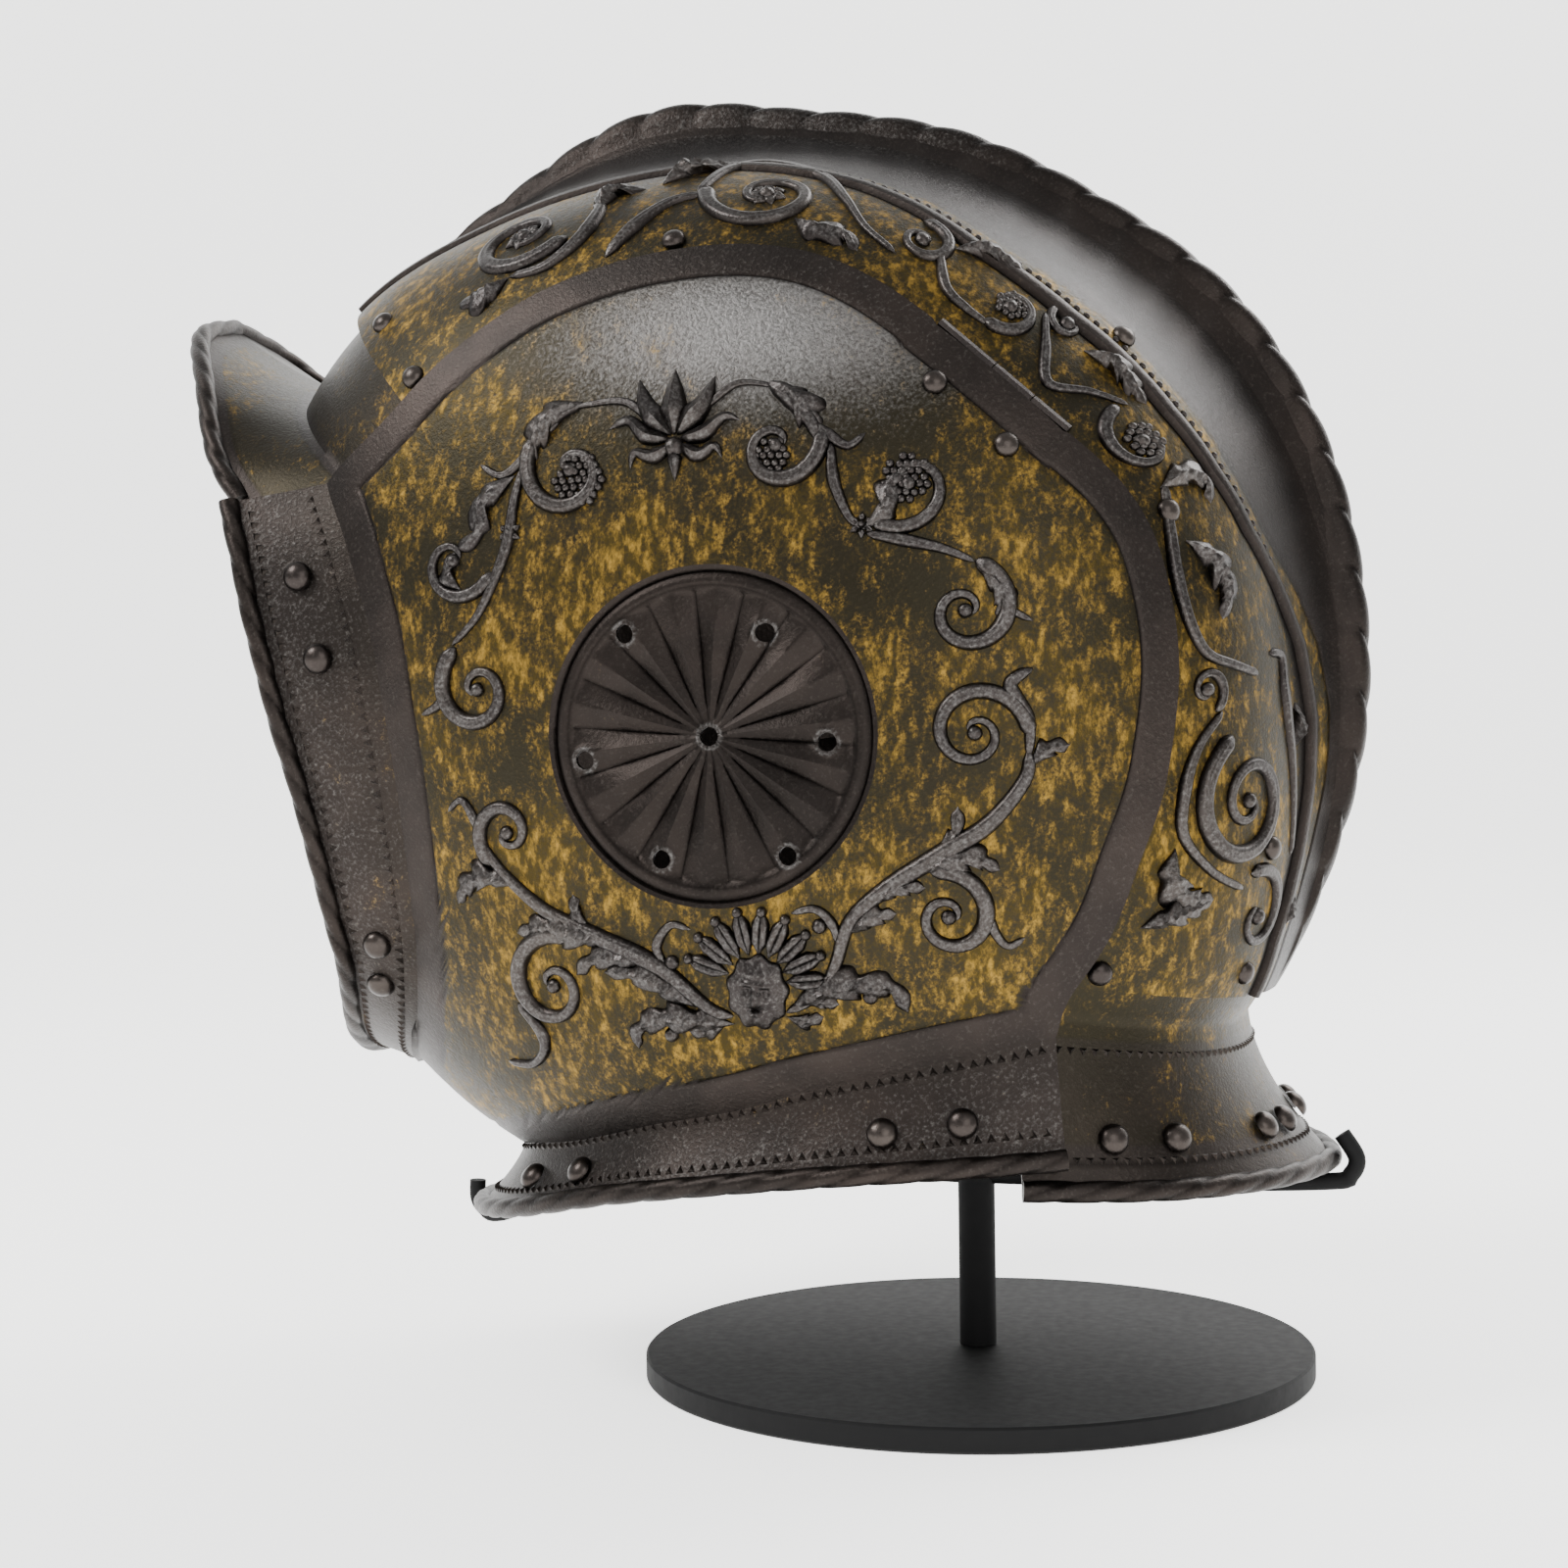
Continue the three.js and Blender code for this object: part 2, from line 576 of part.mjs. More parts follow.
function spiral({ y, z, reach, from, sweep }) {
  return Array.from({ length: SCROLL.steps + 1 }, (_, k) => {
    const share = k / SCROLL.steps;
    const angle = radians(from + sweep * share);
    const radius = reach * lerp(1, SCROLL.heart, share);
    return { y: y + radius * Math.sin(angle), z: z + radius * Math.cos(angle) };
  });
}

function cheekpiece() {
  let body = solid(cheekPlate());
  for (const { steps, flange } of CHEEK_EDGES.filter((edge) => edge.flange)) {
    const line = Array.from({ length: steps + 1 }, (_, k) => FLANGES[flange](k / steps, 1));
    const past = (point) => point.clone().setX(-2 * ROPE);
    const whole = flange === 'face' ? [...line, past(line.at(-1))] : [past(line[0]), ...line];
    body = body.add(solid(bar(whole, ROPE, ROPE_SIDES, Math.round(ROPE_STEPS * steps))));
  }
  for (const places of [...SPIRALS.map(spiral), ...STEMS]) {
    const line = places.map(({ y, z }) => onShell(y, z, CHEEK_LIFT - SCROLL.sink));
    body = body.add(solid(bar(line, SCROLL.radius, SCROLL.sides, line.length - 1)));
  }
  const face = (y, z) => onShell(y, z, CHEEK_LIFT);
  for (const boss of [MASK, BUD]) {
    body = body.add(solid(seated(dome(boss), spot(face, boss.y, boss.z))));
  }
  for (const { y, z } of ROSETTE_HOLES) {
    const drill = new THREE.CylinderGeometry(ROSETTE_HOLE, ROSETTE_HOLE, DRILL, HOLE_SIDES);
    drill.rotateZ(Math.PI / 2).translate(HALF_WIDTH, EAR.y + y, EAR.z + z);
    body = body.subtract(solid(drill));
  }
  body = body.subtract(solid(block(-FAR, SEAM, -FAR, FAR, -FAR, FAR)));
  return shape(body.subtract(solid(hingeCut(-FAR, HINGE_ROOM))));
}

// Frame of the left hinge: its origin is the middle of the pin, X runs across to the ear, Y along
// the pin to the nape end, and Z out of the helmet
function hingeFrame() {
  const [top, end] = [HINGE.top, HINGE.end].map((place) => onShell(place.y, place.z, HINGE.lift));
  const along = end.clone().sub(top).normalize();
  const middle = top.clone().add(end).multiplyScalar(0.5);
  const [y, z] = [(HINGE.top.y + HINGE.end.y) / 2, (HINGE.top.z + HINGE.end.z) / 2];
  const { normal } = spot(onShell, y, z);
  const out = normal.addScaledVector(along, -normal.dot(along)).normalize();
  const across = along.clone().cross(out).normalize();
  return new THREE.Matrix4().makeBasis(across, along, out).setPosition(middle);
}

const HINGE_FRAME = hingeFrame();
const HINGE_HALF = KNUCKLES.reduce((sum, length) => sum + length, 0) / 2;
const HINGE_ROOM = KNUCKLE.radius + KNUCKLE.clear;

// Block in the hinge's frame between two places across it
function hingeCut(from, to) {
  const half = HINGE_HALF + KNUCKLE.clear;
  return block(from, to, -half, half, -HINGE_CUT, HINGE_CUT).applyMatrix4(HINGE_FRAME);
}

// Strip of a hinge with the given section, between two places along the pin
function strip(section, from, to) {
  const corners = section.map(({ across, out }) => new THREE.Vector2(across, out));
  const depth = to - from;
  const body = new THREE.ExtrudeGeometry(new THREE.Shape(corners), { depth, bevelEnabled: false });
  return solid(body.rotateX(Math.PI / 2).translate(0, to, 0));
}

function barrel(radius, from, to) {
  const body = new THREE.CylinderGeometry(radius, radius, to - from, KNUCKLE.sides);
  return solid(body.translate(0, (from + to) / 2, 0));
}

// Leaf on the skull: the outer knuckles, their straps and the pin through all three
function hingeSkullLeaf() {
  const [first, , last] = KNUCKLES;
  const ends = [[-HINGE_HALF, first - HINGE_HALF], [HINGE_HALF - last, HINGE_HALF]];
  let body = barrel(KNUCKLE.pin, -HINGE_HALF, HINGE_HALF);
  for (const [from, to] of ends) {
    body = body.add(barrel(KNUCKLE.radius, from, to)).add(strip(SKULL_LEAF, from, to));
  }
  return shape(body).applyMatrix4(HINGE_FRAME);
}

// Leaf on the cheekpiece: the middle knuckle, its strap and the wide leaf under the plate
function hingeCheekLeaf() {
  const from = KNUCKLES[0] - HINGE_HALF + KNUCKLE.clear;
  const to = HINGE_HALF - KNUCKLES[2] - KNUCKLE.clear;
  const body = barrel(KNUCKLE.radius, from, to).add(strip(CHEEK_STRAP, from, to));
  const wide = strip(CHEEK_LEAF, -CHEEK_LEAF_HALF, CHEEK_LEAF_HALF);
  const bore = barrel(KNUCKLE.bore, from - KNUCKLE.clear, to + KNUCKLE.clear);
  return shape(body.add(wide).subtract(bore)).applyMatrix4(HINGE_FRAME);
}

// Peak as a surface: side runs from one temple (-1) to the other (1); out runs from the seam with
// the skull (-1) to the crease (0) and on to the roped edge (1).
function peakPoint(side, out) {
  const k = Math.abs(side);
  const crease = lerp(PEAK.middle, PEAK.temple, k);
  const turn = crease - Math.min(out, 0) * PEAK.band;
  const end = swingAt(turn, cheekReach(turn) - PEAK.tuck, -BROW_SINK);
  const point = shell(turn, lerp(90, end, k), -BROW_SINK);
  if (out > 0) {
    const place = k * (PEAK_RIM.length - 1);
    const [x, y, z] = ['x', 'y', 'z'].map((name) => column(PEAK_RIM, name, place));
    const edge = new THREE.Vector3(x, y, z);
    point.lerp(edge, out);
    point.z -= PEAK.dish * (1 - k * k) * Math.sin(Math.PI * out);
  }
  return side < 0 ? point.setX(-point.x) : point;
}

function peak() {
  const sides = Array.from({ length: PEAK.steps + 1 }, (_, k) => (2 * k) / PEAK.steps - 1);
  const rows = [-1, -0.5, 0, ...PEAK_ROWS];
  const points = rows.flatMap((out) => sides.map((side) => peakPoint(side, out)));
  const rim = bar(sides.map((side) => peakPoint(side, 1)), ROPE, ROPE_SIDES, PEAK.steps);
  let body = solid(plate(points, gridCells(rows.length, sides.length))).add(solid(rim));
  for (const { along, out } of PEAK_RIVETS) {
    for (const side of [along, -along]) {
      body = body.add(solid(seated(dome(PEAK_RIVET), spot(peakPoint, side, out))));
    }
  }
  return shape(body);
}

// Neck guard as a surface: turn about the neck's axis; down runs from its top under the skull (-1)
// to the waist (0) and on to the roped edge (1).
function guardTop(turn, drop) {
  let [near, far] = [NECK_AXIS_Y, NAPE.y + GUARD.search];
  let point;
  for (let k = 0; k < HALVINGS; k += 1) {
    const y = (near + far) / 2;
    const z = napeZ(y) + drop;
    point = onShell(y - EAR.y, z - EAR.z, -GUARD_SINK);
    const inside = Math.abs(point.z - z) < TOLERANCE;
    if (inside && degrees(Math.atan2(point.x, point.y - NECK_AXIS_Y)) > turn) near = y;
    else far = y;
  }
  return point;
}

function guardPoint(turn, down) {
  const k = Math.abs(turn);
  const point = guardTop(k, lerp(-GUARD.waist, GUARD.tuck, Math.max(-down, 0)));
  if (down > 0) {
    const reach = Math.hypot(point.x, point.y - NECK_AXIS_Y);
    const flared = lerp(reach, neck(k, 'guard'), down ** GUARD.flare);
    point.set(flared * Math.sin(radians(k)), NECK_AXIS_Y + flared * Math.cos(radians(k)), 0);
    point.setZ(lerp(guardTop(k, -GUARD.waist).z, neck(k, 'guardZ'), down));
  }
  return turn < 0 ? point.setX(-point.x) : point;
}

function neckGuard() {
  const { half, steps } = GUARD;
  const turns = Array.from({ length: steps + 1 }, (_, k) => half * ((2 * k) / steps - 1));
  const rows = [-1, 0, ...GUARD_ROWS];
  const points = rows.flatMap((down) => turns.map((turn) => guardPoint(turn, down)));
  const rim = bar(turns.map((turn) => guardPoint(turn, 1)), ROPE, ROPE_SIDES, steps);
  return shape(solid(plate(points, gridCells(rows.length, turns.length))).add(solid(rim)));
}

// Domed head, standing on its flat face at the origin
function dome({ radius, height, seat, sides }) {
  const { share, rise } = SHOULDER;
  const profile = [[0, 0], [radius, 0], [share * radius, rise * height], [0, height]];
  const line = profile.map(([r, z]) => new THREE.Vector2(r, z));
  const turned = new THREE.LatheGeometry(line, sides).deleteAttribute('normal').deleteAttribute('uv');
  return mergeVertices(turned).translate(0, seat, 0);
}

const turnTo = (normal) => new THREE.Quaternion().setFromUnitVectors(UPRIGHT, normal);
const seated = (geometry, { point, normal }) => (
  geometry.applyQuaternion(turnTo(normal)).translate(...point.toArray())
);

// Stand
function standBase() {
  const { radius, height, bevel, sides } = BASE;
  const profile = [
    [0, 0],
    [radius - bevel, 0],
    [radius, bevel],
    [radius, height - bevel],
    [radius - bevel, height],
    [0, height],
  ];
  const line = profile.map(([r, z]) => new THREE.Vector2(r, z));
  return new THREE.LatheGeometry(line, sides).rotateX(Math.PI / 2);
}

function standFrame() {
  const off = ROPE + ROD.clear + ROD.radius;
  const front = { y: NECK_AXIS_Y - neck(180, 'cheek'), z: neck(180, 'cheekZ') };
  const rear = { y: NECK_AXIS_Y + neck(0, 'guard'), z: neck(0, 'guardZ') };
  const line = [
    ...FRONT_HOOK.map(({ out, up }) => [front.y + out * off, front.z + up * off]),
    [-ROD.bend, ROD.z],
    [0, ROD.z],
    [ROD.bend, ROD.z],
    ...REAR_HOOK.map(({ out, up }) => [rear.y + out * off, rear.z + up * off]),
  ];
  const rod = bar(line.map(([y, z]) => new THREE.Vector3(0, y, z)), ROD.radius, ROD.sides, ROD.steps);
  const foot = BASE.height + JOINT_GAP;
  const post = new THREE.CylinderGeometry(POST.radius, POST.radius, ROD.z - foot, POST.sides);
  return shape(solid(rod).add(solid(post.rotateX(Math.PI / 2).translate(0, 0, (ROD.z + foot) / 2))));
}

function part(name, geometry, finish) {
  const mesh = new THREE.Mesh(geometry, new THREE.MeshStandardMaterial(finish));
  mesh.name = name;
  return mesh;
}

// Where the normal at a place of the ideal surface meets the piece as built, and the face there
function landing(mesh, { point, normal }) {
  const start = point.clone().addScaledVector(normal, RIVET_LOOK);
  const [hit] = new THREE.Raycaster(start, normal.clone().negate()).intersectObject(mesh);
  return { point: hit.point, normal: hit.face.normal };
}

function rivet(name, size, { point, normal }, hand = 1) {
  const mirror = new THREE.Vector3(hand, 1, 1);
  const mesh = part(name, dome(size), GILT);
  mesh.position.copy(point).multiply(mirror);
  mesh.quaternion.copy(turnTo(normal.clone().multiply(mirror)));
  return mesh;
}

const group = new THREE.Group();
group.name = 'parade_helmet_on_display_stand';

const pieces = {
  skull: part('skull', skull(), STEEL),
  peak: part('peak', peak(), STEEL),
  guard: part('neck_guard', neckGuard(), STEEL),
  cheek: part('cheekpiece_left', cheekpiece(), STEEL),
};
const hinge = { skull: hingeSkullLeaf(), cheek: hingeCheekLeaf() };
const onSkull = ({ y, z }) => spot(onShell, y, z);
const onFace = ({ along, out }) => spot(faceFlange, along, out);
const onNeck = ({ along, out }) => spot(neckFlange, along, out);
const onGuard = ({ turn }) => spot(guardPoint, turn, GUARD_RIVET_OUT);
const rivetSets = [
  { name: 'skull_rivet', on: 'skull', size: SMALL_RIVET, places: SKULL_RIVETS, at: onSkull },
  { name: 'cheek_rivet', on: 'cheek', size: SMALL_RIVET, places: CHEEK_RIVETS, at: onSkull },
  { name: 'face_rivet', on: 'cheek', size: RIVET, places: FACE_RIVETS, at: onFace },
  { name: 'neck_rivet', on: 'cheek', size: RIVET, places: NECK_RIVETS, at: onNeck },
  { name: 'guard_rivet', on: 'guard', size: RIVET, places: GUARD_RIVETS, at: onGuard },
  { name: 'brow_rivet', on: 'skull', size: SMALL_RIVET, places: BROW_RIVETS, at: onSkull },
];

group.add(...Object.values(pieces));
group.add(part('cheekpiece_right', mirrored(pieces.cheek.geometry), STEEL));
for (const { side, hand } of [{ side: 'left', hand: 1 }, { side: 'right', hand: -1 }]) {
  for (const [name, geometry] of Object.entries(hinge)) {
    group.add(part(`hinge_${name}_leaf_${side}`, hand > 0 ? geometry : mirrored(geometry), STEEL));
  }
  for (const { name, on, size, places, at } of rivetSets) {
    places.forEach((place, k) => {
      group.add(rivet(`${name}_${side}_${k + 1}`, size, landing(pieces[on], at(place)), hand));
    });
  }
}
const browAngle = radians(BROW_MIDDLE);
const middle = {
  point: skullPoint(BROW_MIDDLE, 0),
  normal: new THREE.Vector3(0, Math.sin(browAngle), Math.cos(browAngle)),
};
group.add(rivet('brow_rivet_middle', SMALL_RIVET, landing(pieces.skull, middle)));
group.add(part('stand_base', standBase(), BLACK));
group.add(part('stand_frame', standFrame(), BLACK));

export default group;
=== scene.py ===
# %% [markdown]
# A parade helmet of the open burgonet kind, on its display stand. The CAD model already gives the
# plates, hinges and rivets at their true size. This lesson dresses them: each plate is worked out
# again with numpy as one smooth surface, fine enough for roping, fluting, punched rows and raised
# scrollwork, and gets the finish of russet steel whose ground was gilt and has since worn.

# %% Setup
import json

import bpy
import numpy as np
from mathutils import Matrix


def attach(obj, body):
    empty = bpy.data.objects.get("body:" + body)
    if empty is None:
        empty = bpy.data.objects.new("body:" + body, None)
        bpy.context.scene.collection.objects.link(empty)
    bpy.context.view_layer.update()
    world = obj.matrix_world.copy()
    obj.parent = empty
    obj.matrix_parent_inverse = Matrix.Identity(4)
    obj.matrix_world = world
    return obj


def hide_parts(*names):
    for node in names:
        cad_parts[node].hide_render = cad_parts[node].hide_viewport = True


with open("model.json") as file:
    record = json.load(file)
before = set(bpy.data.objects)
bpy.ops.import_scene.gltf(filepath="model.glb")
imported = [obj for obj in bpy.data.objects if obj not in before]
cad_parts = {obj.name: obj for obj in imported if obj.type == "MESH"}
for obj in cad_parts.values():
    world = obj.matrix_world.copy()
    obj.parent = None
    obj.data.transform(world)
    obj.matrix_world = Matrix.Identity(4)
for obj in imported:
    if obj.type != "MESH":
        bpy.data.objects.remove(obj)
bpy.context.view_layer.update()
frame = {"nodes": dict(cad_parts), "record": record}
MM = 0.001
noise_seed = np.random.default_rng(7)

# %% [markdown]
# The camera stands where the photographer stood: level with the ear, a little towards the nape, so
# the helmet shows its left side. Its place and the lens come from measured points of the helmet,
# and the matrix is built from the viewing direction with a slight roll, because aiming by angles
# would hide what each number does.

# %% Camera
IMAGE = 1600
FOCAL_PIXELS = 2862.0
EYE = np.array([733.61, 155.93, 176.19])
AIM_Y, PITCH, ROLL = -52.0, 1.44, -0.8


def camera_axes():
    """Right, up and backward directions: the view points from the eye to the helmet's mid-plane,
    dips by the pitch, and the picture's axes are then turned by the roll."""
    level = np.array([0.0, AIM_Y, 0.0]) - EYE
    level[2] = 0
    level /= np.linalg.norm(level)
    pitch, roll = np.radians([PITCH, ROLL])
    forward = level * np.cos(pitch) - np.array([0, 0, np.sin(pitch)])
    right = np.cross(forward, [0, 0, 1])
    right /= np.linalg.norm(right)
    up = np.cross(right, forward)
    turned = right * np.cos(roll) + up * np.sin(roll)
    return turned, np.cross(turned, forward), -forward


camera_data = bpy.data.cameras.new("photo_camera")
camera_data.sensor_width = 36
camera_data.lens = camera_data.sensor_width * FOCAL_PIXELS / IMAGE
camera_data.clip_end = 50
camera = bpy.data.objects.new("photo_camera", camera_data)
bpy.context.scene.collection.objects.link(camera)
pose = np.eye(4)
pose[:3, :3] = np.array(camera_axes()).T
pose[:3, 3] = EYE * MM
camera.matrix_world = Matrix(pose.tolist())
bpy.context.scene.camera = camera
print("lens", round(camera_data.lens, 2), "mm")

# %% [markdown]
# Colours are read off as sRGB hex values, and Blender mixes light in linear values, so one function
# turns one into the other. A second one adds a shader node with its settings and its links, which
# keeps each material readable as a list of steps.

# %% Colour and node helpers


def colour(code):
    """sRGB hex text to linear RGBA: each channel goes through the sRGB curve's inverse."""
    srgb = np.array([int(code[k:k + 2], 16) / 255 for k in (1, 3, 5)])
    linear = np.where(srgb <= 0.04045, srgb / 12.92, ((srgb + 0.055) / 1.055) ** 2.4)
    return (*linear.tolist(), 1.0)


def add(tree, kind, sockets=None, **settings):
    """Adds one node. Settings are its properties; sockets maps an input's name or number to a
    value or to another node's output."""
    made = tree.nodes.new(kind)
    for name, value in settings.items():
        setattr(made, name, value)
    for key, value in (sockets or {}).items():
        if isinstance(value, bpy.types.NodeSocket):
            tree.links.new(value, made.inputs[key])
        else:
            made.inputs[key].default_value = value
    return made


# %% [markdown]
# The stage is a sweep of pale paper, lit from behind as on a photographer's light table, so no
# horizon shows. Three large soft lights do the rest: a key above the front, a broad fill beside the
# camera and a rim light behind.

# %% Floor and light
GLOW = 1.7  # light that comes through the paper
MOTTLE = 1.02  # how much lighter the paper's light patches are
MOTTLE_SCALE = 4.0  # patches of a quarter of a metre


def stage_material(name, code, roughness):
    """Plain matt paint with a faint mottling, so that even the floor isn't one flat value."""
    material = bpy.data.materials.new(name)
    material.use_nodes = True
    tree = material.node_tree
    shader = tree.nodes["Principled BSDF"]
    place = add(tree, "ShaderNodeTexCoord").outputs["Object"]
    mottle = add(tree, "ShaderNodeTexNoise", {"Vector": place, "Scale": MOTTLE_SCALE}).outputs["Fac"]
    light = [min(1.0, MOTTLE * c) for c in colour(code)[:3]] + [1.0]
    mixed = add(tree, "ShaderNodeMix", {"Factor": mottle, 6: colour(code), 7: light}, data_type="RGBA")
    tree.links.new(mixed.outputs[2], shader.inputs["Base Color"])
    shader.inputs["Roughness"].default_value = roughness
    shader.inputs["Emission Color"].default_value = colour(code)
    shader.inputs["Emission Strength"].default_value = GLOW
    return material


SWEEP_FRONT, SWEEP_BACK, SWEEP_RADIUS, SWEEP_HALF, SWEEP_TOP = 4.0, -2.2, 1.6, 6.0, 5.0


def sweep():
    """Paper sweep: its profile is a flat floor, a quarter circle behind the helmet and a wall."""
    arc = np.radians(np.linspace(0, 90, 25))
    floor_end = SWEEP_BACK - SWEEP_RADIUS * np.sin(arc)
    x = np.concatenate([[SWEEP_FRONT], floor_end, [SWEEP_BACK - SWEEP_RADIUS]])
    z = np.concatenate([[0.0], SWEEP_RADIUS * (1 - np.cos(arc)), [SWEEP_TOP]])
    points = [(a, y, b) for a, b in zip(x, z) for y in (-SWEEP_HALF, SWEEP_HALF)]
    faces = [(2 * k, 2 * k + 1, 2 * k + 3, 2 * k + 2) for k in range(len(x) - 1)]
    mesh = bpy.data.meshes.new("sweep")
    mesh.from_pydata(points, [], [face[::-1] for face in faces])
    mesh.polygons.foreach_set("use_smooth", np.ones(len(faces), bool))
    mesh.materials.append(stage_material("pale_paper", "#f4f4f3", 0.9))
    made = bpy.data.objects.new("sweep", mesh)
    bpy.context.scene.collection.objects.link(made)


sweep()

world = bpy.data.worlds.new("pale_room")
world.use_nodes = True
world.node_tree.nodes["Background"].inputs["Color"].default_value = colour("#f4f4f4")
world.node_tree.nodes["Background"].inputs["Strength"].default_value = 1.0
bpy.context.scene.world = world

HELMET_MIDDLE = np.array([0, -0.04, 0.17])
LIGHTS = [
    # name, place in metres, size, watts
    ("key_light", (0.75, -1.1, 1.35), 0.7, 26),
    ("fill_light", (1.5, 0.9, 0.8), 1.2, 12),
    ("rim_light", (-0.9, 0.6, 1.2), 0.8, 14),
]
for name, place, size, watts in LIGHTS:
    lamp = bpy.data.lights.new(name, "AREA")
    lamp.size = size
    lamp.energy = watts
    light = bpy.data.objects.new(name, lamp)
    bpy.context.scene.collection.objects.link(light)
    away = np.array(place) - HELMET_MIDDLE
    away /= np.linalg.norm(away)
    side = np.cross([0, 0, 1], away)
    side /= np.linalg.norm(side)
    turn = np.eye(4)
    turn[:3, :3] = np.array([side, np.cross(away, side), away]).T
    turn[:3, 3] = place
    light.matrix_world = Matrix(turn.tolist())
print("lights:", [row[0] for row in LIGHTS])

# %% [markdown]
# All plates of the helmet lie on one hammered form. It is described about the ear, which is the
# pole: a turn goes round the head in side view, and a swing goes from the ear (0) to the mid-plane
# (90). Every 15 degrees a row gives how far the bowl reaches at the mid-plane, how high the comb
# stands on it and how square the cross-section is. A smooth curve through the rows gives the rest,
# so every grid, fine or coarse, lies on the same skin.

# %% The form of the helmet
WALL = 1.5
HALF_WIDTH = 98.0
EAR = np.array([-42.0, 171.0])
CHEEK_LIFT, BROW_SINK, GUARD_SINK = 2.9, 3.0, 2.9
SEAM, ROPE = 0.25, 2.7
OUTLINE = np.array([
    # bowl, comb, square
    (128, 0, 2.5), (129, 0, 2.4), (133, 0, 2.2), (138, 0, 2.05), (141, 0, 2.05), (139, 0, 2.2),
    (144, 0, 2.3), (157, -12, 2.35), (168.5, -8, 2.4), (169, 3, 2.45), (161, 12.5, 2.5), (155, 21.5, 2.5),
    (150.5, 17.2, 2.5), (146, 18.5, 2.5), (142, 18.5, 2.5), (140, 20, 2.5), (137.5, 18.5, 2.5),
    (132.5, 18, 2.5), (131, 15, 2.5), (134.5, 7, 2.5), (139, 0, 2.5), (136, 0, 2.5), (131, 0, 2.5),
    (128, 0, 2.5),
])


def curve(rows, place, closed=False):
    """A table read between its rows: the Catmull-Rom cubic through the rows, at places counted
    in rows. A closed table runs round."""
    rows, place = np.asarray(rows, float), np.asarray(place, float)
    last = len(rows) - 1
    i = np.floor(place).astype(int)
    if not closed:
        i = np.clip(i, 0, last - 1)
    near = [(i + k) % (last + 1) if closed else np.clip(i + k, 0, last) for k in (-1, 0, 1, 2)]
    a, b, c, d = (rows[k] for k in near)
    f = (place - i)[..., None]
    bend = -a + 3 * b - 3 * c + d
    return 0.5 * (2 * b + (c - a) * f + (2 * a - 5 * b + 4 * c - d) * f**2 + bend * f**3)


def outline(turn):
    """Bowl, comb and square at a turn, from the table."""
    return np.moveaxis(curve(OUTLINE, (np.asarray(turn, float) + 180) / 15, closed=True), -1, 0)


def shell(turn, swing, lift=0.0):
    """Point of the form: reach = bowl sin(swing)^p and x = half width cos(swing)^p with
    p = 2 / square, laid out at the turn about the ear. The lift grows both."""
    turn, swing = np.broadcast_arrays(np.asarray(turn, float), np.asarray(swing, float))
    bowl, _, square = outline(turn)
    angle, swing = np.radians(turn), np.radians(swing)
    reach = (bowl + lift) * np.sin(swing).clip(0) ** (2 / square)
    x = (HALF_WIDTH + lift) * np.cos(swing).clip(0) ** (2 / square)
    return np.stack([x, EAR[0] + reach * np.sin(angle), EAR[1] + reach * np.cos(angle)], -1)


def swing_at(turn, reach, lift=0.0):
    """Swing at which the form lies a given reach from the ear in side view: arcsin of
    (reach / bowl)^(square / 2)."""
    bowl, _, square = outline(turn)
    return np.degrees(np.arcsin((reach / (bowl + lift)).clip(0, 1) ** (square / 2)))


def swing_beside(turn, x):
    """Swing at which the form lies x from the mid-plane: arccos of (x / half width)^(square / 2)."""
    return np.degrees(np.arccos((np.abs(x) / HALF_WIDTH) ** (outline(turn)[2] / 2)))


def on_shell(y, z, lift=0.0):
    """Point of the form over a place in side view, measured from the ear."""
    turn = np.degrees(np.arctan2(y, z))
    return shell(turn, swing_at(turn, np.hypot(y, z), lift), lift)


def lerp(a, b, share):
    """Straight mix of two values: a at share 0 and b at share 1."""
    return a + (b - a) * share


def unit(vectors):
    """Vectors brought to length one."""
    return vectors / np.linalg.norm(vectors, axis=-1, keepdims=True).clip(1e-9)


def spot(surface, u, v, step=0.02):
    """Point and outward normal of a surface of two parameters: the cross product of two small
    steps, turned away from the mid-plane."""
    point = surface(u, v)
    normal = unit(np.cross(surface(u + step, v) - point, surface(u, v - step) - point))
    return point, np.where(normal[..., :1] < 0, -normal, normal)


print("crown above the ear:", outline(0.0)[:2].sum(), "mm")

# %% [markdown]
# A plate has an outer face, an inner face and a wall round each free edge. The outer face carries
# all the fine work, so it is a dense grid, while the inner face only follows every fourth point,
# because nobody looks at it closely. Small fans of triangles join four outer edges to one inner
# edge, so the body stays closed. Parts are gathered as arrays and become one mesh at the end.

# %% Plates from grids


def grid(rows, columns, wrap=False):
    """Quads of a grid stored row by row, turned so that rows run down and columns run right."""
    r, c = np.mgrid[0:rows - 1, 0:columns if wrap else columns - 1]
    a, b = r * columns + c, r * columns + (c + 1) % columns
    return np.stack([a, a + columns, b + columns, b], -1).reshape(-1, 4)


def grid_normals(points, wrap=False):
    """Normals of a grid: cross product of the central differences along its two directions."""
    down = np.gradient(points, axis=0)
    if wrap:
        across = np.roll(points, -1, 1) - np.roll(points, 1, 1)
    else:
        across = np.gradient(points, axis=1)
    return unit(np.cross(down, across))


def hem(outer, inner):
    """Triangles between an outer edge and an inner edge with a quarter of its steps: two fans and
    one middle triangle for each inner step."""
    o = outer[:-1].reshape(-1, 4)
    last = outer[4::4]
    i, j = inner[:-1], inner[1:]
    rows = [(o[:, 0], o[:, 1], i), (o[:, 1], o[:, 2], i), (o[:, 2], j, i), (o[:, 2], o[:, 3], j),
            (o[:, 3], last, j)]
    return np.concatenate([np.stack(row, -1) for row in rows])


